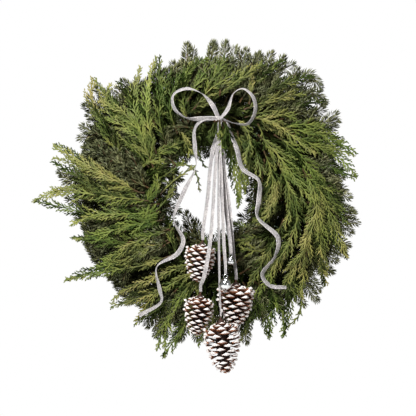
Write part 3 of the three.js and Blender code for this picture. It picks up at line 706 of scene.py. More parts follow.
def ramp(tree, source, stops):
    made = node(tree, "ShaderNodeValToRGB")
    while len(made.color_ramp.elements) < len(stops):
        made.color_ramp.elements.new(0.5)
    for element, (place, colour) in zip(made.color_ramp.elements, stops):
        element.position = place
        element.color = (*colour, 1)
    tree.links.new(source, made.inputs["Fac"])
    return made.outputs["Color"]


def mix(tree, factor, first, second, blend="MIX"):
    made = node(tree, "ShaderNodeMix", data_type="RGBA", blend_type=blend)
    for source, place in ((factor, 0), (first, 6), (second, 7)):
        feed(tree, source, made.inputs[place])
    return made.outputs[2]


def multiply(tree, first, second):
    return mix(tree, 1.0, first, second, "MULTIPLY")


def maths(tree, operation, *sources):
    made = node(tree, "ShaderNodeMath", operation=operation)
    for source, socket in zip(sources, made.inputs):
        feed(tree, source, socket)
    return made.outputs[0]


def bump(tree, shader, height, distance, strength):
    made = node(tree, "ShaderNodeBump", Distance=distance, Strength=strength)
    tree.links.new(height, made.inputs["Height"])
    tree.links.new(made.outputs["Normal"], shader.inputs["Normal"])


def scaled(colour, factor):
    return tuple(min(1.0, c * factor) for c in colour)


def tinted(colour, *factors):
    return tuple(c * factor for c, factor in zip(colour, factors))


def grey(value):
    return (value, value, value)


WHITE = grey(1.0)
BLACK = grey(0.0)
TWIG_BARK = (0.10, 0.06, 0.03)
CEDAR_BARK = (0.085, 0.045, 0.024)


def gloss_on_outer(tree, shader, most):
    """Outer leaves have this much gloss, and the deep ones are dull."""
    gloss = ramp(tree, attribute(tree, "tone"), [(0.1, BLACK), (0.5, grey(most))])
    tree.links.new(gloss, shader.inputs["Specular IOR Level"])


def cedar_material(colour):
    material, tree, shader = new_material("cedar scale leaves", 0.5)
    tone, along = attribute(tree, "tone"), attribute(tree, "along")
    # The tone ramp paints light and shade. Near black at tone 0 is painted deep shade, and the dark
    # blue-green is partly the leaves' own colour and partly painted shade. The pale yellow at the top is
    # partly the tips' own colour and partly a painted highlight.
    yellow_and_highlight = tinted(colour, 1.5, 1.30, 1.95)
    deep = tinted(colour, 0.33, 0.41, 0.55)
    leaf = ramp(tree, tone, [(0.0, scaled(deep, 0.22)), (0.2, deep), (0.55, colour), (1.0, yellow_and_highlight)])
    brown_root = ramp(tree, along, [(0.0, (0.20, 0.085, 0.03)), (0.16, (0.16, 0.12, 0.04)), (0.3, WHITE)])
    is_stem = ramp(tree, along, [(0.0, WHITE), (0.12, WHITE), (0.26, BLACK)])
    stem = mix(tree, is_stem, multiply(tree, leaf, brown_root), CEDAR_BARK)
    blotch = ramp(tree, noise(tree, 38.0), [(0.3, (0.64, 0.70, 0.62)), (0.7, (1.27, 1.2, 1.08))])
    drift = ramp(tree, noise(tree, 10.0), [(0.36, (0.84, 1.0, 0.78)), (0.64, (1.16, 1.03, 1.2))])
    tree.links.new(multiply(tree, multiply(tree, stem, blotch), drift), shader.inputs["Base Color"])
    gloss_on_outer(tree, shader, 0.35)
    bump(tree, shader, noise(tree, 1400.0, 2.0), 0.0003, 0.5)
    return material


def fir_material(colour):
    material, tree, shader = new_material("fir needles", 0.5)
    pale = tinted(colour, 2.0, 1.85, 2.4)
    # at tone 0 the needles are near black, a painted deep shade, and the tone rises to a pale grey-green
    by_tone = [(0.0, scaled(colour, 0.08)), (0.22, scaled(colour, 0.5)), (0.55, colour), (1.0, pale)]
    needle = ramp(tree, attribute(tree, "tone"), by_tone)
    is_bark = ramp(tree, attribute(tree, "along"), [(0.0, WHITE), (0.02, WHITE), (0.08, BLACK)])
    twig = mix(tree, is_bark, needle, TWIG_BARK)
    blotch = ramp(tree, noise(tree, 30.0), [(0.3, (0.7, 0.75, 0.75)), (0.7, (1.2, 1.15, 1.0))])
    tree.links.new(multiply(tree, twig, blotch), shader.inputs["Base Color"])
    gloss_on_outer(tree, shader, 0.2)
    bump(tree, shader, noise(tree, 1100.0, 2.0), 0.0002, 0.4)
    return material


def cone_material(colour, frost):
    """Brown scales whose rim is painted white, along an uneven edge, and which darken toward their roots and
    the core: painted shade in the gaps between the scales.
    """
    material, tree, shader = new_material("frosted cone scales", 0.72)
    tone, along = attribute(tree, "tone"), attribute(tree, "along")
    ochre = tinted(colour, 2.0, 2.1, 1.7)
    grain = ramp(tree, noise(tree, 160.0, 5.0), [(0.3, scaled(colour, 0.4)), (0.5, colour), (0.72, ochre)])
    # near black toward each scale's root, which is painted shade in the gaps between scales, and a little
    # lighter at the rim
    shade_at_root_to_rim = [(0.0, (0.08, 0.06, 0.05)), (0.4, (0.35, 0.33, 0.32)), (0.7, WHITE), (1.0, grey(1.1))]
    wood_and_painted_shade = multiply(tree, grain, ramp(tree, along, shade_at_root_to_rim))
    wobble = maths(tree, "MULTIPLY_ADD", noise(tree, 420.0, 3.0), 0.26, -0.18)
    uneven = maths(tree, "MULTIPLY_ADD", tone, 0.12, wobble)
    edge = maths(tree, "ADD", along, uneven)
    painted = ramp(tree, edge, [(0.0, BLACK), (0.80, BLACK), (0.86, WHITE)])
    aged = ramp(tree, tone, [(0.0, scaled(frost, 0.72)), (1.0, frost)])
    tree.links.new(mix(tree, painted, wood_and_painted_shade, aged), shader.inputs["Base Color"])
    bump(tree, shader, noise(tree, 700.0, 4.0), 0.0006, 0.8)
    return material


RIBS_ACROSS = 15
THREADS_PER_MM = 0.9


def ribbon_material(colour):
    """A woven ribbon with a corded edge: tone runs across it, and along is its length in millimetres."""
    material, tree, shader = new_material(
        "silver woven ribbon", 0.5, Sheen_Weight=0.35, Sheen_Roughness=0.4, Metallic=0.25
    )
    tone, along = attribute(tree, "tone"), attribute(tree, "along")
    ribs = maths(tree, "SINE", maths(tree, "MULTIPLY", tone, 2 * math.pi * RIBS_ACROSS))
    threads = maths(tree, "SINE", maths(tree, "MULTIPLY", along, 2 * math.pi * THREADS_PER_MM))
    flecks = [(0.34, scaled(colour, 0.5)), (0.52, colour), (0.70, scaled(colour, 1.55))]
    fleck = ramp(tree, noise(tree, 520.0, 3.0), flecks)
    cloud = ramp(tree, noise(tree, 60.0), [(0.3, (0.72, 0.72, 0.74)), (0.7, (1.16, 1.14, 1.12))])
    half = [(0.0, 1.25), (0.12, 1.2), (0.26, 0.72)]
    stops = [*half, (0.5, 1.0), *((1 - place, value) for place, value in reversed(half))]
    cords = ramp(tree, tone, [(place, grey(value)) for place, value in stops])
    tree.links.new(multiply(tree, multiply(tree, fleck, cords), cloud), shader.inputs["Base Color"])
    bump(tree, shader, maths(tree, "MULTIPLY", ribs, threads), 0.0002, 0.7)
    return material


def wire_material():
    material, tree, shader = new_material("green enamelled wire", 0.38, Metallic=0.2, Coat_Weight=0.3)
    greens = [(0.35, (0.02, 0.045, 0.02)), (0.7, (0.045, 0.08, 0.04)), (0.82, (0.16, 0.15, 0.13))]
    tree.links.new(ramp(tree, noise(tree, 220.0, 4.0), greens), shader.inputs["Base Color"])
    bump(tree, shader, noise(tree, 500.0), 0.0001, 0.5)
    return material


def silver_material():
    material, tree, shader = new_material("plated bell metal", 0.13, Metallic=1.0)
    tarnish = [(0.3, (0.62, 0.63, 0.64)), (0.7, (0.86, 0.87, 0.88))]
    tree.links.new(ramp(tree, noise(tree, 90.0, 4.0), tarnish), shader.inputs["Base Color"])
    bump(tree, shader, noise(tree, 350.0), 0.0001, 0.25)
    return material


def floor_material():
    material, tree, shader = new_material("pale floor", 0.8)
    patches = [(0.3, (0.80, 0.80, 0.79)), (0.7, (0.84, 0.84, 0.83))]
    tree.links.new(ramp(tree, noise(tree, 6.0), patches), shader.inputs["Base Color"])
    return material


# ---- Cedar --------------------------------------------------------------------------------------

FROND_CURVE_PIECES = 24
STRIP_CORNERS = ((1, -0.3), (0, 1), (-1, -0.3))  # across and up, round a strip's three sides
FROND_END = 5  # the last stretch of a frond, which has no branchlets
SHORTEST_BRANCHLET = 7
LOWEST = 0.3  # the branchlets' height over the surface that their frond lies on
LAST_PITCH = 4.5  # between the branchlets of the last order, which is also their least length
LAST_LONGEST = 15


def add_strips(soup, centres, widths, heights, lifts, surface, tone, along):
    """Many three-sided scale-leaved strips at once.

    centres is (m, k, 2) and tone is (m,). The others spread to (m, k).
    """
    m, k, _ = centres.shape
    d = np.gradient(centres, axis=1)
    d /= np.maximum(np.linalg.norm(d, axis=2, keepdims=True), 1e-9)
    side = np.stack([-d[..., 1], d[..., 0]], -1)
    rings = np.zeros((m, k, 3, 3))
    for corner, (across, rise) in enumerate(STRIP_CORNERS):
        flat = centres + side * (widths * across)[..., None]
        rings[:, :, corner, 0] = flat[..., 0]
        rings[:, :, corner, 2] = flat[..., 1]
        rings[:, :, corner, 1] = surface(flat[..., 0], flat[..., 1]) - lifts - heights * rise
    quads, ends = ring_faces(k, 3, root_end=False)
    start = (np.arange(m) * k * 3)[:, None, None]
    soup.add(
        rings,
        (quads[None] + start).reshape(-1, 4),
        (ends[None] + start).reshape(-1, 3),
        np.repeat(tone, k * 3),
        np.repeat(np.broadcast_to(along, (m, k)), 3),
    )


def bent_lines(roots, angles, lengths, bends, k):
    """(m, k, 2) centre lines that leave their roots at an angle and bend evenly."""
    t = np.linspace(0, 1, k)[None, :]
    turning = angles[:, None] + bends[:, None] * t
    steps = np.stack([np.cos(turning), np.sin(turning)], -1) * (lengths[:, None, None] / (k - 1))
    steps[:, 0] = 0
    return roots[:, None, :] + np.cumsum(steps, axis=1)


def zigzag(k, width, taper):
    """Half-widths of a strip of paired scale leaves, narrowing to its tip."""
    j = np.arange(k)
    t = j / (k - 1)
    wave = np.where(j % 2 == 1, 1.0, 0.6)
    return width * wave * (1 - taper * t**3)


def alternate(count):
    return np.where(np.arange(count) % 2 == 0, 1.0, -1.0)


def add_rachis(soup, line, surface, shade):
    """A frond's middle stem, brown at its root and green toward its tip."""
    k = max(12, int(line.length / 4))
    centre = line.point(np.linspace(0, line.length - 1, k))[None]
    t = np.linspace(0, 1, k)
    widths = np.where(t < 0.75, 1.7 - 0.6 * t, 1.25) * np.where(np.arange(k) % 2, 1.0, 0.8)
    brown_to_green = np.clip(0.14 + 0.7 * t, 0, 1)
    add_strips(soup, centre, widths[None], 1.0 - 0.4 * t, 0.2, surface, np.array([shade]), brown_to_green)


def cedar_frond(soup, rng, path, spread, surface, settings, shade, first=30.0):
    """A flat spray: a rachis with alternate feathered branchlets that lie forward along it."""
    leaf = settings.leaf_width / MM / 2
    line = Line(path)
    step = settings.branchlet_step / MM
    s = np.arange(first, line.length - FROND_END, step)
    s = s + rng.uniform(-0.25, 0.25, len(s)) * step
    u = (s - first) / (line.length - first)
    side = alternate(len(s))
    reach = spread * (0.5 + 0.62 * np.sin(np.pi * (0.2 + 0.6 * u)) ** 1.5) * (1 - 0.72 * u * u)
    reach = np.maximum(reach * rng.uniform(0.68, 1.12, len(s)), SHORTEST_BRANCHLET)
    ahead = line.direction(s)
    heading = np.arctan2(ahead[:, 1], ahead[:, 0])
    lean = np.radians(rng.normal(31, 6, len(s)))
    bend = -side * np.radians(rng.normal(20, 6, len(s)))
    roll = np.minimum(rng.normal(-0.03, 0.2, len(s)), 0.22)
    # each frond is darker at its root and lighter toward its tip: painted shade where it lies under others,
    # and painted light at its tips
    tone = np.clip(shade * (0.56 + 0.72 * u) + rng.normal(0, 0.2, len(s)), 0, 1)
    add_rachis(soup, line, surface, shade)

    # branchlets of about the same length have the same number of rings, and are made together
    group = np.ceil(np.clip(reach, 8, 60) / 10).astype(int)
    for size in np.unique(group):
        here = np.flatnonzero(group == size)
        k = int(size * 2) + 2
        roots = line.point(s[here])
        lines = bent_lines(roots, heading[here] + side[here] * lean[here], reach[here], bend[here], k)
        t = np.linspace(0, 1, k)[None]
        lifts = roll[here][:, None] * reach[here][:, None] * t + LOWEST
        widths = zigzag(k, leaf, 0.75)
        add_strips(soup, lines, widths, 0.8, lifts, surface, tone[here], 0.34 + 0.66 * t)
        grow_branchlets(soup, rng, lines, reach[here], roll[here], tone[here], leaf, surface)


def grow_branchlets(soup, rng, lines, reach, roll, tone, leaf, surface):
    """The last order of branchlets, alternate along each of the given ones."""
    m, k, _ = lines.shape
    per = max(2, int(reach.mean() / LAST_PITCH))
    t = (np.arange(per)[None, :] + 0.9) / (per + 0.6) + rng.uniform(-0.02, 0.02, (m, per))
    place = t * (k - 1)
    low = np.clip(place.astype(int), 0, k - 2)
    part = (place - low)[..., None]
    rows = np.arange(m)[:, None]
    a, b = lines[rows, low], lines[rows, low + 1]
    roots = a * (1 - part) + b * part
    way = b - a
    side = alternate(per)[None, :] * np.where(rng.random((m, 1)) < 0.5, 1, -1)
    angle = np.arctan2(way[..., 1], way[..., 0]) + side * np.radians(rng.normal(33, 4, (m, per)))
    length = LAST_PITCH + 0.24 * (1 - t) * reach[:, None] * rng.uniform(0.7, 1.3, (m, per))
    length = np.clip(length, LAST_PITCH, LAST_LONGEST)
    root_lift = roll[:, None] * reach[:, None] * t + LOWEST
    tilt = rng.normal(0, 0.16, (m, per))
    shade = np.clip(tone[:, None] + rng.normal(0, 0.12, (m, per)), 0, 1)
    bend = -side * np.radians(14)
    for shortest, longest, rings in ((0, 8, 3), (8, 12, 4), (12, LAST_LONGEST + 1, 5)):
        pick = (length >= shortest) & (length < longest)
        if not pick.any():
            continue
        along = np.linspace(0, 1, rings)[None]
        tips = bent_lines(roots[pick], angle[pick], length[pick], bend[pick], rings)
        lifts = root_lift[pick][:, None] + tilt[pick][:, None] * length[pick][:, None] * along
        widths = zigzag(rings, leaf * 0.92, 0.7)
        add_strips(soup, tips, widths, 0.65, lifts, surface, shade[pick], 0.55 + 0.45 * along)


def frond_path(index, via, tip):
    angle = math.radians(clamp_angle(index))
    clockwise = np.array([math.sin(angle), -math.cos(angle)])
    root = polar(RING_R, clamp_angle(index))
    return catmull([root - 5 * clockwise, root + 16 * clockwise, via, tip], FROND_CURVE_PIECES)


def polar_path(index, corners):
    """A path through [radius, degrees clockwise of the clamp] corners."""
    flat = catmull(corners, FROND_CURVE_PIECES)
    return np.array([polar(r, clamp_angle(index) - travel) for r, travel in flat])


def dome(lift):
    """The rounded front of the greens, as a depth over (x, z)."""
    return lambda x, z: FRONT_Y - lift - DOME_H * np.exp(-(((np.hypot(x, z) - DOME_R) / DOME_REACH) ** 2))


def sheet(index, level, start_y):
    """The surface that a bunch's fronds lie on at a level, as a depth over (x, z)."""
    return lambda x, z: sheet_depth(x, z, index, level, start_y)


def bunch_of(x, z):
    """The bunch whose clamp lies just before a point, going clockwise."""
    clockwise = (90 - math.degrees(math.atan2(z, x))) % 360
    return int((clockwise - CLAMP_PITCH / 2 - 4) // CLAMP_PITCH) % CLAMP_COUNT


def cedar_bunch(index, settings):
    """The outer fronds, shorter sprays and long front sprays of one clamp."""
    rng = np.random.default_rng(settings.seed * 100 + index)
    soup = Soup()
    for level, (via_x, via_z, tip_x, tip_z, spread) in enumerate(OUTER_FRONDS[index]):
        path = frond_path(index, (via_x, via_z), (tip_x, tip_z))
        surface = sheet(index, level, CEDAR_Y)
        # these fronds lie under the front sprays, and their low shade is painted shade
        cedar_frond(soup, rng, path, spread * 0.75, surface, settings, rng.uniform(0.04, 0.4), 24.0)
    for level, corners, spread in FILL_SPRAYS:
        corners = [(r + rng.normal(0, 5), travel + rng.normal(0, 2)) for r, travel in corners]
        path = polar_path(index, corners)
        # the shorter sprays lie low too, and their low shade is painted shade
        shade = rng.uniform(0.04, 0.5)
        cedar_frond(soup, rng, path, spread, sheet(index, level, CEDAR_Y), settings, shade, 14.0)
    for lift, shade, spread, corners in FRONT_SPRAYS:
        if bunch_of(*corners[0]) == index:
            path = catmull(corners, FROND_CURVE_PIECES)
            cedar_frond(soup, rng, path, spread, dome(lift), settings, shade, 12.0)
    # painted shade on the fronds that lie deep behind the front
    soup.paint_inner_shade()
    return soup


def inner_frond(order, settings):
    """One of the fronds that point into the opening."""
    index, via_x, via_z, tip_x, tip_z, spread = INNER_FRONDS[order]
    rng = np.random.default_rng(settings.seed * 100 + 50 + order)
    soup = Soup()
    path = frond_path(index, (via_x, via_z), (tip_x, tip_z))
    surface = sheet(index, 1.5, INNER_CEDAR_Y)
    cedar_frond(soup, rng, path, spread, surface, settings, rng.uniform(0.4, 0.7))
    return soup


# ---- Fir ----------------------------------------------------------------------------------------

NEEDLE_FACES = np.array([(0, 2, 1), (0, 1, 3), (0, 3, 2), (1, 2, 3)])  # root, two sides, tip
NEEDLE_ALONG = [0.3, 0.7, 0.7, 1.0]
BUD_NEEDLES = 7
TWIG_TIP_R = 0.8
FRAME_STEPS = 60
NEAR_TIP = 18.0  # the end of a twig, where its needles are shorter and lie forward
LEAN_ON_TOP = 36
LEAN_AT_SIDES = 64
NEEDLE_CURVE = 0.35
BLADE_TILT = 0.35
LIFT_REACH = (10, 50)  # from the ring's middle, where a twig's lift begins and is full
SHOOT_R = 1.1
SHOOT_LIFT = 2.0
MAIN_TWIG_LIFTS = (2.0, 16.0, 9.0)  # how far each main twig of a bunch stands toward the front
INNER_TWIG_RADII = (116, 132, 146, 162, 178, 194, 210, 226, 242)


def fir_twig(soup, rng, points, radius, density, needle, shade, bare=0.0, broad=1.0):
    """A brown core with a brush of flat curved needles all round it, in three ranks."""
    line = Line(points)
    ends = (0, line.length)
    s = np.linspace(0, line.length, max(4, int(line.length / 9)))
    tube(soup, line.point(s), np.interp(s, ends, (radius, TWIG_TIP_R)), 5, tone=0.4, along=0.0)
    count = int((line.length - bare) * density)
    if count < 2:
        return
    at = np.linspace(bare, line.length, count) + rng.uniform(-0.3, 0.3, count)
    at = np.concatenate([at, np.full(BUD_NEEDLES, line.length - 0.5)])
    bud = np.arange(len(at)) >= count
    count = len(at)
    t_dense, u_dense, v_dense = frames_along(line.point(np.linspace(0, line.length, FRAME_STEPS)))
    last = FRAME_STEPS - 1
    pick = np.clip(np.round(at / line.length * last).astype(int), 0, last)
    ahead, u, v = t_dense[pick], u_dense[pick], v_dense[pick]

    # where the needles stand round the twig, how far they lean out, and how long they are
    rank = np.arange(count) % 3
    on_top = rank == 2
    turn = np.choose(rank, (-0.25, np.pi + 0.25, -np.pi / 2))
    turn = turn + rng.normal(0, 1, count) * np.where(on_top, 0.7, 0.22)
    out = np.cos(turn)[:, None] * u + np.sin(turn)[:, None] * v
    near_tip = smooth(at, line.length - NEAR_TIP, line.length)
    lean = np.where(on_top, LEAN_ON_TOP, LEAN_AT_SIDES) + rng.normal(0, 5, count) - 12 * near_tip
    lean = np.radians(np.where(bud, rng.uniform(4, 38, count), lean))
    length = needle * rng.uniform(0.86, 1.05, count) * (1 - 0.2 * near_tip)

    # each needle is a thin four-sided solid that bends forward
    first = np.cos(lean)[:, None] * ahead + np.sin(lean)[:, None] * out
    curved = lean - NEEDLE_CURVE
    later = np.cos(curved)[:, None] * ahead + np.sin(curved)[:, None] * out
    root = line.point(at) + out * np.interp(at, ends, (radius, TWIG_TIP_R))[:, None] * 0.6
    middle = root + first * (length * 0.5)[:, None]
    tip = middle + later * (length * 0.5)[:, None]
    across = np.cross(first, (0, 1, 0)) + BLADE_TILT * rng.normal(0, 1, (count, 1)) * np.array([0, 1.0, 0])
    across /= np.maximum(np.linalg.norm(across, axis=1, keepdims=True), 1e-9)
    face = np.cross(across, first)
    belly = root + first * (length * 0.56)[:, None] + (later - first) * (length * 0.06)[:, None]
    sides = [belly + across * (a * broad) + face * 0.5 for a in (1, -1)]
    start = (np.arange(count) * 4)[:, None, None]
    triangles = (NEEDLE_FACES[None] + start).reshape(-1, 3)
    tone = np.clip(shade * np.interp(at, ends, (0.7, 1.2)) + rng.normal(0, 0.22, count), 0, 1)
    vertices = np.stack([root, *sides, tip], 1)
    soup.add(vertices, None, triangles, np.repeat(tone, 4), np.tile(NEEDLE_ALONG, count))


def fir_route(index, corners, lift):
    """A twig's points from [radius, degrees clockwise of its clamp] corners."""
    flat = catmull(corners, 12)
    xz = np.array([polar(r, clamp_angle(index) - travel) for r, travel in flat])
    y = fir_depth(flat[:, 0]) - lift * smooth(np.abs(flat[:, 0] - RING_R), *LIFT_REACH)
    return np.column_stack([xz[:, 0], y, xz[:, 1]])


def side_shoots(soup, rng, points, start, spacing, length, settings, shade, clear=45, fan=0.0):
    """Short twigs that leave a longer one on both sides, and fan out in depth."""
    line = Line(points)
    needle = settings.needle_length / MM * 0.95
    density = settings.needles_per_cm / 10
    for order, at in enumerate(np.arange(start, line.length - clear, spacing)):
        ahead = line.direction(at)
        side = np.cross(ahead, (0, 1, 0)) * (1 if order % 2 else -1)
        lean = math.radians(rng.normal(46, 5))
        reach = length * rng.uniform(0.75, 1.1) * (1 - 0.35 * at / line.length)
        way = math.cos(lean) * ahead + math.sin(lean) * side
        bent = way + 0.18 * ahead
        root = line.point(at)
        forward = np.array([0, -SHOOT_LIFT - fan * math.sin(2.4 * order), 0])
        middle = root + way * reach * 0.5 + forward
        end = root + bent / np.linalg.norm(bent) * reach + forward * 1.4
        fir_twig(soup, rng, catmull([root, middle, end], 6), SHOOT_R, density, needle, shade)


def fir_spray(soup, rng, behind, shade, shoot, corners, settings):
    """A flat spray of fir on the rounded front of the greens, or a bare-sided twig."""
    flat = catmull(corners, 10)
    surface = dome(-behind)
    points = np.column_stack([flat[:, 0], surface(flat[:, 0], flat[:, 1]), flat[:, 1]])
    needle = settings.needle_length / MM * (0.95 if shoot else 0.75)
    fir_twig(soup, rng, points, 2.0, settings.needles_per_cm / 7, needle, shade, bare=8)
    if shoot:
        clear = 22 if shoot >= 28 else 45
        side_shoots(soup, rng, points, 18, 19, shoot * 1.35, settings, shade, clear)


def fir_bunch(index, settings):
    rng = np.random.default_rng(settings.seed * 100 + index)
    draw = seeded(1000 + index)
    soup = Soup()
    needle = settings.needle_length / MM
    per_mm = settings.needles_per_cm / 10
    stem = np.array([polar(RING_R, clamp_angle(index) - travel) for travel in (-6, -2, 2, 6, 9)])
    tube(soup, np.column_stack([stem[:, 0], np.full(5, FIR_Y), stem[:, 1]]), FIR_STEM_R, 8, 0.4)

    # the main twigs, one third of a clamp's pitch apart
    for j, lift in enumerate(MAIN_TWIG_LIFTS):
        side = CLAMP_PITCH / 3 * j
        tip = fir_reach(90 - clamp_angle(index) + 15 + side) - NEEDLE / 2 - 8 * draw()
        corners = [(RING_R, 3), (RING_R + 8, 8 + side * 0.62), (200, 11 + side), (tip, 15 + side)]
        route = fir_route(index, corners, lift)
        shade = rng.uniform(0.35, 0.7)
        fir_twig(soup, rng, route, 2.0, per_mm, needle, shade, bare=22)
        side_shoots(soup, rng, route, 40, 20, 40, settings, shade, fan=8.0)

    # dark twigs along the ring, which close the gaps between the main ones
    inner_tip = INNER_REACH[0] + (INNER_REACH[1] - INNER_REACH[0]) * draw()
    for r in INNER_TWIG_RADII:
        drift = 0.2 * (r - RING_R)
        lift = 14 + 9 * math.sin(r + index)
        route = fir_route(index, [(r, -4), (r + drift / 2, 12), (r + drift, 30)], lift)
        fir_twig(soup, rng, route, 1.5, 2.0, 22, 0.3, broad=1.3)

    # twigs into the opening
    for tip, ahead in ((inner_tip, 0), (rng.uniform(82, 96), 12)):
        corners = [(RING_R, 3), (RING_R - 6, 9), (122, 17 + ahead), (tip, 22 + ahead)]
        route = fir_route(index, corners, 0.0)
        shade = rng.uniform(0.3, 0.6)
        fir_twig(soup, rng, route, 1.8, per_mm, needle, shade, bare=14)
        side_shoots(soup, rng, route, 26, 18, 34, settings, shade)

    for behind, shade, shoot, corners in FIR_SPRAYS:
        if bunch_of(*corners[0]) == index:
            fir_spray(soup, rng, behind, shade, shoot, corners, settings)
    # painted shade on the twigs that lie deep behind the front
    soup.paint_inner_shade()
    return soup


# ---- Ribbon -------------------------------------------------------------------------------------

ROUTE_CURVE_PIECES = 24
RIBBON_STEP = 2.5
RIBBON_COLUMNS = 5
KNOT_COLUMNS = 9
KNOT_STEP = 1.8
KNOT_GATHER = 0.46  # the ribbon's share of the knot's width at the waist
KNOT_INSET = (0.6, 1.2)  # how far the wrap lies inside the knot's depth and height
STREAMER_FRONT = 1.4  # the first streamer's place behind the knot's front, and then their pitch
STREAMER_PITCH = 1.8
PLUMB = 12  # how far a streamer hangs straight below the knot and above its weight

# name: weight, turn over the weight, (x, z, turn) of two stations that hang from the knot, then
# (x, y, z, turn) of the stations further down. They come out of the knot from front to back.
STREAMERS = {
    "streamer_large_bell": (
        "jingle_bell_large", 60, [(22, 90, 50), (24, 55, 50)], [(28, -74, -40, 54), (30, -92, -95, 50)],
    ),
    "streamer_centre": (
        "pine_cone_centre", 72, [(21, 90, 54), (21, 55, 58)],
        [(20, -70, -40, 58), (21, -97, -150, 68), (22, -108, -200, 72)],
    ),
    "streamer_lower_left": (
        "pine_cone_lower_left", 56, [(17, 90, 46), (14, 55, 48)],
        [(8, -67, -40, 48), (3, -97, -95, 44), (-3.5, -103.5, -138, 42), (-10, -99, -166, 44)],
    ),
    "streamer_small_bell": (
        "jingle_bell_small", 50, [(25, 90, 34), (27, 50, 30)], [(36, -64, -40, 32)],
    ),
    "streamer_right": (
        "pine_cone_right", 58, [(27, 90, 30), (31, 45, 26)], [(42, -60, -40, 26), (49, -74, -120, 44)],
    ),
    "streamer_upper_left": (
        "pine_cone_upper_left", 52, [(9, 90, 36), (4, 55, 40)], [(-2, -56, -10, 44)],
    ),
}


def ribbon_tone(columns, rings):
    """A tone that runs from one edge of the ribbon to the other, on both of its sides."""
    across = np.linspace(-1, 1, columns)
    return np.tile(np.concatenate([across, across[::-1]]) * 0.5 + 0.5, rings)


def ribbon_strip(soup, stations, thickness):
    """A closed strip of ribbon along [x, y, z, turn] stations, with soft edges. Returns its length."""
    stations = np.asarray(stations, float)
    line = Line(catmull(stations[:, :3], ROUTE_CURVE_PIECES))
    station_at = np.arange(len(line.points)) / ROUTE_CURVE_PIECES
    turn_at = np.interp(station_at, np.arange(len(stations)), stations[:, 3])
    n = max(6, int(line.length / RIBBON_STEP))
    s = np.linspace(0, line.length, n)
    centre = line.point(s)
    ahead = line.direction(s)
    turn = np.radians(np.interp(s, line.at, turn_at))
    in_face = np.cross((0, 1, 0), ahead)
    in_face /= np.linalg.norm(in_face, axis=1, keepdims=True)
    out_of_face = np.cross(ahead, in_face)
    width = in_face * np.cos(turn)[:, None] + out_of_face * np.sin(turn)[:, None]
    normal = np.cross(ahead, width)
    across = np.linspace(-1, 1, RIBBON_COLUMNS)
    edge = np.sqrt(np.maximum(0.15, 1 - np.abs(across) ** 6))
    belly = 0.5 * (1 - across**2) * np.sin(s / 31.0)[:, None]
    made = [
        centre[:, None] + width[:, None] * (order * RIBBON_W / 2)[None, :, None]
        + normal[:, None] * (sign * edge[None] * thickness / 2 + belly)[..., None]
        for sign, order in ((-1, across), (1, across[::-1]))
    ]
    sides = 2 * RIBBON_COLUMNS
    quads, end_faces = ring_faces(n, sides)
    soup.add(np.concatenate(made, 1), quads, end_faces, ribbon_tone(RIBBON_COLUMNS, n), np.repeat(s, sides))
    return line.length


def knot_wrap(soup, thickness):
    """The turn of ribbon round the middle of the bow, gathered to a waist. Returns its length."""
    turn = np.linspace(0, 2 * np.pi, 25)
    middle_y = (KNOT_BACK + KNOT_FRONT) / 2
    depth = (KNOT_BACK - KNOT_FRONT) / 2 - KNOT_INSET[0]
    height = KNOT_H / 2 - KNOT_INSET[1]
    points = np.array([(KNOT_X, middle_y + depth * math.cos(a), KNOT_Z + height * math.sin(a)) for a in turn])
    outward = points - points.mean(0)
    outward /= np.linalg.norm(outward, axis=1, keepdims=True)
    across = np.linspace(-1, 1, KNOT_COLUMNS)
    made = []
    for sign, order in ((1, across), (-1, across[::-1])):
        crease = 0.5 * np.cos(order * 9) + 0.8 * (1 - order**2)
        shift = order * KNOT_W / 2 * KNOT_GATHER
        made.append(
            points[:, None] + outward[:, None] * (crease - 1.0 + sign * thickness / 2)[None, :, None]
            + np.array([1.0, 0, 0])[None, None] * shift[None, :, None]
        )
    quads, _ = ring_faces(len(points), 2 * KNOT_COLUMNS)
    along = np.repeat(np.arange(len(points)) * KNOT_STEP, 2 * KNOT_COLUMNS)
    soup.add(np.concatenate(made, 1), quads, None, ribbon_tone(KNOT_COLUMNS, len(points)), along)
    length = float(np.linalg.norm(np.diff(points, axis=0), axis=1).sum())
    return length * KNOT_W * KNOT_GATHER / RIBBON_W


def weight_top(name):
    """Where the ribbon meets a cone's stub or a bell's loop."""
    if name in BELLS:
        x, y, z, radius = BELLS[name]
        return x, y, z + bell_loop(radius)[2] + GAP
    x, y, z, lean, _, _ = CONES[name]
    tilt = math.sin(math.radians(lean))
    return x + STUB_H * tilt, y, z + STUB_H + STUB_R * abs(tilt) + GAP


def streamer_routes():
    """The streamers' stations, as the solids have them: plumb under the knot and over each weight."""
    top = KNOT_Z - KNOT_H / 2 - GAP
    routes = {}
    for order, (name, (weight, weight_turn, upper, lower)) in enumerate(STREAMERS.items()):
        y = KNOT_FRONT + STREAMER_FRONT + order * STREAMER_PITCH
        (x1, z1, turn1), (x2, z2, turn2) = upper
        end_x, end_y, end_z = weight_top(weight)
        routes[name] = [
            (KNOT_X, y, top, 30), (KNOT_X, y, top - PLUMB, 44), (x1, y, z1, turn1), (x2, y - 2, z2, turn2),
            *lower, (end_x, end_y, end_z + PLUMB, weight_turn), (end_x, end_y, end_z, weight_turn),
        ]
    return routes


# ---- Cones and bells ----------------------------------------------------------------------------

GOLDEN_TURN = 2.39996
SCALE_COLUMNS = 5
# along one scale, from its root to its rim: place, width, and thickness over and under its middle
SCALE_REACH = np.array([0, 0.3, 0.55, 0.72, 0.83, 0.92, 0.98, 1.0])
SCALE_WIDTH = np.array([0.24, 0.42, 0.78, 1.0, 0.98, 0.78, 0.44, 0.16])
SCALE_OVER = np.array([0.03, 0.04, 0.08, 0.20, 0.33, 0.34, 0.20, 0.06])
SCALE_UNDER = np.array([0.04, 0.05, 0.07, 0.10, 0.12, 0.11, 0.08, 0.04])
SCALE_TALL = 0.68

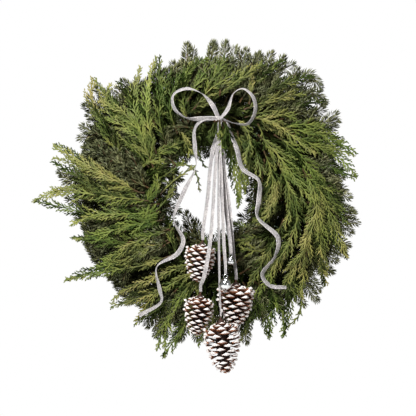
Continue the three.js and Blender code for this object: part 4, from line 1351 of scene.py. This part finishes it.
# down the whole cone from its stem: share of its scales, then the value there
SCALE_SPREAD = (
    (0, 0.06, 0.12, 0.2, 0.45, 0.65, 0.82, 0.93, 1.0),
    (0.40, 0.66, 0.94, 1.10, 1.09, 0.92, 0.71, 0.48, 0.25),
)
SCALE_RISE = ((0, 0.05, 0.1, 0.15, 0.2, 0.3, 0.5, 0.8, 0.93, 1), (62, 56, 48, 38, 26, 10, 0, -18, -44, -74))
SCALE_SIZE = ((0, 0.15, 0.6, 0.9, 1.0), (0.55, 0.95, 1.0, 0.75, 0.5))
SCALE_DEPTH = ((0, 0.05, 0.1, 0.15, 0.2, 0.3, 1), (0.035, 0.085, 0.105, 0.125, 0.175, 0.27, 1.0))
CORE_SPREAD = ((0, 0.1, 0.5, 0.9, 1), (0.10, 0.34, 0.42, 0.24, 0.08))  # by height, not by scale

BELL_ROWS = 28
BELL_COLUMNS = 48
BELL_SLOT_HALF_W = 0.9


def scale_template():
    """One woody scale, 1 wide and 1 long: x across, y outward, z up. Returns points, quads, frost: each
    point's place from root to rim, which sets where the frost lies and the painted shade at the root.
    """
    rows, columns = len(SCALE_REACH), SCALE_COLUMNS
    r = SCALE_REACH
    across = np.linspace(-1, 1, columns)
    x = SCALE_WIDTH[:, None] * across[None, :] * 0.5
    y = r[:, None] - 0.06 * across[None, :] ** 2 * r[:, None]
    peak = 1 - np.abs(across) ** 1.25
    rim = 0.05 * r[:, None]
    upper = np.stack([x, y, SCALE_OVER[:, None] * peak + rim], -1)
    lower = np.stack([x, y, rim - SCALE_UNDER[:, None] * (1 - across**2) - 0.012], -1)
    points = np.concatenate([upper.reshape(-1, 3), lower.reshape(-1, 3)])
    n = rows * columns
    quads = []
    for i in range(rows - 1):
        for j in range(columns - 1):
            a = i * columns + j
            quads.append((a, a + 1, a + columns + 1, a + columns))
            quads.append((n + a, n + a + columns, n + a + columns + 1, n + a + 1))
        for j, flip in ((0, False), (columns - 1, True)):
            a = i * columns + j
            quad = (a, a + columns, n + a + columns, n + a)
            quads.append(quad[::-1] if flip else quad)
    for j in range(columns - 1):
        a = (rows - 1) * columns + j
        quads.append((a, a + 1, n + a + 1, n + a))
    frost = np.concatenate([np.repeat(r, columns), np.repeat(r * 0.86, columns)])
    return points, np.array(quads), frost


def cone_scales(soup, rng, count, length, radius):
    """Scales in a spiral down the cone: they stand up at its stem, and point down at its tip."""
    template, quads, frost = scale_template()
    order = np.arange(count)
    u = (order + 0.5) / count
    turn = order * GOLDEN_TURN + rng.normal(0, 0.06, count)
    outline = radius * np.interp(u, *SCALE_SPREAD)
    outline = outline * rng.uniform(0.96, 1.04, count)
    core = np.maximum(0.3 * outline, 1.5)
    rise = np.radians(np.interp(u, *SCALE_RISE))
    rise = rise + rng.normal(0, 0.09, count)
    reach = np.maximum((outline - core) / np.maximum(np.cos(rise), 0.62), 7)
    reach = np.minimum(reach, 8 + 3.6 * radius * u)
    wide = radius * 0.6 * np.interp(u, *SCALE_SIZE) * rng.uniform(0.9, 1.08, count)
    scale = template[None] * np.stack([wide, reach, wide * SCALE_TALL], -1)[:, None]
    x, y, z = scale[..., 0], scale[..., 1] - reach[:, None], scale[..., 2]
    out = y * np.cos(rise)[:, None] - z * np.sin(rise)[:, None] + (core + reach * np.cos(rise))[:, None]
    up = y * np.sin(rise)[:, None] + z * np.cos(rise)[:, None]
    turned_x = out * np.cos(turn)[:, None] - x * np.sin(turn)[:, None]
    turned_y = out * np.sin(turn)[:, None] + x * np.cos(turn)[:, None]
    heights = (-length * np.interp(u, *SCALE_DEPTH))[:, None] + up
    start = (order * len(template))[:, None, None]
    faces = (quads[None] + start).reshape(-1, 4)
    tone = np.repeat(rng.uniform(0, 1, count), len(template))
    soup.add(np.stack([turned_x, turned_y, heights], -1), faces, None, tone, np.tile(frost, count))


def pine_cone(name, settings):
    """A cone of woody scales round a core, with the stub that its ribbon is glued to."""
    top_x, top_y, top_z, lean, length, radius = CONES[name]
    soup = Soup()
    cone_scales(soup, np.random.default_rng(len(name) * 7 + int(length)), settings.scales, length, radius)
    heights = np.linspace(0, -length * 0.95, 14)
    core = np.interp(-heights / length, *CORE_SPREAD) * radius
    # the core's low place along paints it in deep shade, a painted shade in the gaps between the scales, and
    # the stub is somewhat darkened the same way
    tube(soup, np.column_stack([np.zeros(14), np.zeros(14), heights]), core, 10, 0.3, 0.05)
    stub = np.array([(0, 0, -3.0), (0, 0, STUB_H * 0.5), (0, 0, STUB_H)])
    tube(soup, stub, (2.0, 1.8, 1.6), 10, 0.5, 0.3)
    cos, sin = math.cos(math.radians(lean)), math.sin(math.radians(lean))
    spin = np.array([[cos, 0, sin], [0, 1, 0], [-sin, 0, cos]])
    soup.points = [block @ spin.T + (top_x, top_y, top_z) for block in soup.points]
    return soup


def bell_loop(radius):
    """The radius of a bell's wire loop, the height of its middle and the height of its top."""
    ring_r = radius * 0.22 + 1
    height = radius + ring_r - 0.4
    return ring_r, height, height + ring_r + BELL_LOOP_WIRE


def in_slot(middle, radius):
    """Which faces of a bell's shell lie in its two crossed slots."""
    x, y, z = np.abs(middle[:, 0]), np.abs(middle[:, 1]), middle[:, 2]
    reach = radius * 0.75
    crossed = ((x < BELL_SLOT_HALF_W) & (y < reach)) | ((y < BELL_SLOT_HALF_W) & (x < reach))
    return (z < -radius * 0.45) & crossed


def jingle_bell(name):
    """A thin hollow ball with a raised seam, two crossed slots below and a wire loop on top."""
    x, y, z, radius = BELLS[name]
    soup = Soup()
    lat = np.linspace(-np.pi / 2, np.pi / 2, BELL_ROWS)
    lon = np.linspace(0, 2 * np.pi, BELL_COLUMNS, endpoint=False)
    raised = 1 + 0.035 * np.exp(-((lat / 0.05) ** 2))
    for shell_r, seam, inside in ((radius, raised, False), (radius - BELL_WALL, np.ones(BELL_ROWS), True)):
        ring = shell_r * seam
        px = ring[:, None] * np.cos(lat)[:, None] * np.cos(lon)
        py = ring[:, None] * np.cos(lat)[:, None] * np.sin(lon)
        pz = (shell_r * np.sin(lat))[:, None] * np.ones(BELL_COLUMNS)
        points = np.stack([px, py, pz], -1).reshape(-1, 3)
        quads, _ = ring_faces(BELL_ROWS, BELL_COLUMNS)
        quads = quads[~in_slot(points[quads].mean(1), radius)]
        soup.add(points + (x, y, z), quads[:, ::-1] if inside else quads, None, 0.5, 0.5)
    ring_r, height, _ = bell_loop(radius)
    turn = np.linspace(0, 2 * np.pi, 33)
    loop = np.column_stack([x + ring_r * np.cos(turn), np.full(33, y), z + height + ring_r * np.sin(turn)])
    tube(soup, loop, BELL_LOOP_WIRE, 8)
    return soup


# ---- Ring ---------------------------------------------------------------------------------------

RAIL_STEPS = 144
CLAMP_TIP_GAP = 1.5  # half the gap between a clamp's two bent tips
CLAMP_BEND = 2.0


def clamp_ring():
    """Two round rails, with a wire clamp bent over the stems of each bunch."""
    soup = Soup()
    turn = np.linspace(0, 360, RAIL_STEPS + 1)
    for radius in (INNER_RAIL_R, OUTER_RAIL_R):
        rail = np.array([polar(radius, a) for a in turn])
        tube(soup, np.column_stack([rail[:, 0], np.zeros(len(turn)), rail[:, 1]]), RAIL_WIRE_R, 10)
    half, tip, bar = CLAMP_HALF_SPAN, CLAMP_TIP_Y, CROSSBAR_Y
    bent_tip = [(CLAMP_TIP_GAP, tip), (half - CLAMP_BEND, tip), (half, tip + CLAMP_BEND)]
    one_side = [*bent_tip, (half, bar - 1), (half - 1, bar)]
    other_side = [(-a, y) for a, y in one_side]
    profile = catmull([*other_side, (0, bar), *reversed(one_side)], 3)
    for index in range(CLAMP_COUNT):
        across = np.array([polar(RING_R + a, clamp_angle(index)) for a in profile[:, 0]])
        tube(soup, np.column_stack([across[:, 0], profile[:, 1], across[:, 1]]), CLAMP_WIRE_R, 8)
    return soup


def bow_wire():
    """The florist's wire that goes round the inner rail and forward into the knot."""
    soup = Soup()
    rail_z = math.sqrt(INNER_RAIL_R**2 - KNOT_X**2)
    bend = RAIL_WIRE_R + 2 * GAP + BOW_WIRE_R
    front = KNOT_BACK + GAP
    half_turn = np.linspace(0, np.pi, 13)
    round_back = [(KNOT_X, bend * math.sin(a), rail_z + bend * math.cos(a)) for a in half_turn]
    above = [(KNOT_X, y, rail_z + bend) for y in (front, front / 2)]
    below = [(KNOT_X, y, rail_z - bend) for y in (front / 2, front)]
    tube(soup, np.array([*above, *round_back, *below]), BOW_WIRE_R, 8)
    return soup


# ---- Stage --------------------------------------------------------------------------------------

SENSOR_WIDTH = 36
VIEW_CENTRE = Vector((-0.001, 0.0, -0.0281 - HANG * MM))
CAMERA_SETBACK = 0.03
FLOOR_SIZE = 2.4
FLOOR_Z = -0.82
KEY_LAMP = ((-1.0, -1.9, 1.6), 0.7)
# name: place round the view's centre and diameter in metres, and power in watts
OTHER_LAMPS = {
    "fill light": ((1.6, -2.0, 0.2), 1.2, 8.0),
    "top light": ((0.1, -0.2, 1.9), 1.0, 16.0),
    "back light": ((0.9, 2.4, 0.9), 1.4, 45.0),
}


def add_camera(context, settings):
    data = bpy.data.cameras.new("camera")
    data.sensor_width = SENSOR_WIDTH
    data.lens = SENSOR_WIDTH * settings.camera_distance / settings.view_width
    camera = bpy.data.objects.new("camera", data)
    camera.location = VIEW_CENTRE + Vector((0, -settings.camera_distance - CAMERA_SETBACK, 0))
    camera.rotation_euler = (math.pi / 2, 0, 0)
    context.collection.objects.link(camera)
    context.scene.camera = camera


def add_lamp(context, name, place, size, power):
    data = bpy.data.lights.new(name, "AREA")
    data.shape = "DISK"
    data.size = size
    data.energy = power
    lamp = bpy.data.objects.new(name, data)
    lamp.location = Vector(place) + VIEW_CENTRE
    lamp.rotation_euler = (VIEW_CENTRE - lamp.location).to_track_quat("-Z", "Y").to_euler()
    context.collection.objects.link(lamp)


def room(strength):
    """A world that the camera sees as white, and that lights the wreath softly."""
    world = bpy.data.worlds.new("soft white room")
    world.use_nodes = True
    tree = world.node_tree
    backdrop = tree.nodes["Background"]
    backdrop.inputs["Color"].default_value = (1, 1, 1, 1)
    glow = node(tree, "ShaderNodeBackground", Color=(1, 1, 1, 1), Strength=strength)
    either = node(tree, "ShaderNodeMixShader")
    tree.links.new(node(tree, "ShaderNodeLightPath").outputs["Is Camera Ray"], either.inputs[0])
    tree.links.new(glow.outputs[0], either.inputs[1])
    tree.links.new(backdrop.outputs[0], either.inputs[2])
    tree.links.new(either.outputs[0], tree.nodes["World Output"].inputs["Surface"])
    return world


# ---- Operators ----------------------------------------------------------------------------------


class WREATH_OT_stage(bpy.types.Operator):
    """Place the camera, the lights and the floor"""

    bl_idname = "wreath.stage"
    bl_label = "Stage"

    def execute(self, context):
        settings = context.scene.wreath_stage
        add_camera(context, settings)
        add_lamp(context, "key light", *KEY_LAMP, settings.key_light)
        for name, lamp in OTHER_LAMPS.items():
            add_lamp(context, name, *lamp)
        context.scene.world = room(settings.room_light)
        context.scene.view_settings.view_transform = "Standard"
        bpy.ops.mesh.primitive_grid_add(
            size=FLOOR_SIZE, x_subdivisions=8, y_subdivisions=8, location=(0, 0, FLOOR_Z)
        )
        floor = context.object
        floor.name = "floor"
        floor.data.materials.append(floor_material())
        return {"FINISHED"}


class WREATH_OT_ring(bpy.types.Operator):
    """Build the wire ring with its clamps, and the bow's wire"""

    bl_idname = "wreath.ring"
    bl_label = "Clamp ring"

    def execute(self, context):
        material = wire_material()
        make_piece("clamp_ring_wire", clamp_ring(), material, ["clamp_ring"])
        make_piece("bow_tie_wire", bow_wire(), material, ["bow_wire"])
        return {"FINISHED"}


class WREATH_OT_fir(bpy.types.Operator):
    """Grow the bunches of fir"""

    bl_idname = "wreath.fir"
    bl_label = "Fir bunches"

    def execute(self, context):
        settings = context.scene.wreath_fir
        material = fir_material(tuple(settings.colour))
        for index in range(CLAMP_COUNT):
            name = f"fir_bunch_{index + 1:02d}"
            make_piece(f"{name}_needles", fir_bunch(index, settings), material, [name])
        return {"FINISHED"}


class WREATH_OT_cedar(bpy.types.Operator):
    """Grow the cedar fronds"""

    bl_idname = "wreath.cedar"
    bl_label = "Cedar fronds"

    def execute(self, context):
        settings = context.scene.wreath_cedar
        material = cedar_material(tuple(settings.colour))
        for index in range(CLAMP_COUNT):
            name = f"cedar_bunch_{index + 1:02d}"
            make_piece(f"{name}_fronds", cedar_bunch(index, settings), material, [name])
        for order in range(len(INNER_FRONDS)):
            name = f"cedar_inner_frond_{order + 1}"
            make_piece(f"{name}_leaves", inner_frond(order, settings), material, [name])
        return {"FINISHED"}


class WREATH_OT_cones(bpy.types.Operator):
    """Build the pine cones scale by scale"""

    bl_idname = "wreath.cones"
    bl_label = "Pine cones"

    def execute(self, context):
        settings = context.scene.wreath_cones
        material = cone_material(tuple(settings.colour), tuple(settings.frost))
        for name in CONES:
            make_piece(f"{name}_scales", pine_cone(name, settings), material, [name])
        return {"FINISHED"}


class WREATH_OT_bells(bpy.types.Operator):
    """Build the jingle bells, whose pellets stay as the solids have them"""

    bl_idname = "wreath.bells"
    bl_label = "Jingle bells"

    def execute(self, context):
        material = silver_material()
        for name in BELLS:
            make_piece(f"{name}_shell", jingle_bell(name), material, [name])
            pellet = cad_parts[f"{name}_pellet"]
            pellet.data.materials.clear()
            pellet.data.materials.append(material)
        return {"FINISHED"}


class WREATH_OT_bow(bpy.types.Operator):
    """Tie the bow and hang the streamers"""

    bl_idname = "wreath.bow"
    bl_label = "Bow and streamers"

    def execute(self, context):
        settings = context.scene.wreath_ribbon
        material = ribbon_material(tuple(settings.colour))
        thickness = settings.thickness / MM
        soup = Soup()
        length = 0
        for stations in (LEFT_LOOP, RIGHT_LOOP, LEFT_TAIL, RIGHT_TAIL):
            length += ribbon_strip(soup, stations, thickness)
        length += knot_wrap(soup, thickness)
        piece = make_piece("bow_of_ribbon", soup, material, ["bow_ribbon"])
        for name, stations in streamer_routes().items():
            soup = Soup()
            length = ribbon_strip(soup, stations, thickness)
            piece = make_piece(f"{name}_ribbon", soup, material, [name])
        return {"FINISHED"}


# ---- Panel and registration ---------------------------------------------------------------------

OPERATORS = (
    WREATH_OT_stage,
    WREATH_OT_ring,
    WREATH_OT_fir,
    WREATH_OT_cedar,
    WREATH_OT_cones,
    WREATH_OT_bells,
    WREATH_OT_bow,
)


class WREATH_PT_panel(bpy.types.Panel):
    """Lists the wreath's operators and their settings"""

    bl_idname = "WREATH_PT_panel"
    bl_label = "Evergreen wreath"
    bl_space_type = "VIEW_3D"
    bl_region_type = "UI"
    bl_category = "Wreath"

    def draw(self, context):
        layout = self.layout
        for operator in OPERATORS:
            layout.operator(operator.bl_idname)
        for group in SETTINGS:
            box = layout.box()
            owner = getattr(context.scene, group)
            for name in SETTINGS[group].__annotations__:
                box.prop(owner, name)


SETTINGS = {
    "wreath_stage": StageSettings,
    "wreath_fir": FirSettings,
    "wreath_cedar": CedarSettings,
    "wreath_cones": ConeSettings,
    "wreath_ribbon": RibbonSettings,
}


def register():
    for made in (*SETTINGS.values(), *OPERATORS, WREATH_PT_panel):
        bpy.utils.register_class(made)
    for name, group in SETTINGS.items():
        setattr(bpy.types.Scene, name, PointerProperty(type=group))


def unregister():
    for name in SETTINGS:
        delattr(bpy.types.Scene, name)
    for made in reversed((*SETTINGS.values(), *OPERATORS, WREATH_PT_panel)):
        bpy.utils.unregister_class(made)


def main():
    register()
    for operator in OPERATORS:
        group, name = operator.bl_idname.split(".")
        getattr(getattr(bpy.ops, group), name)()


if __name__ == "__main__":
    main()
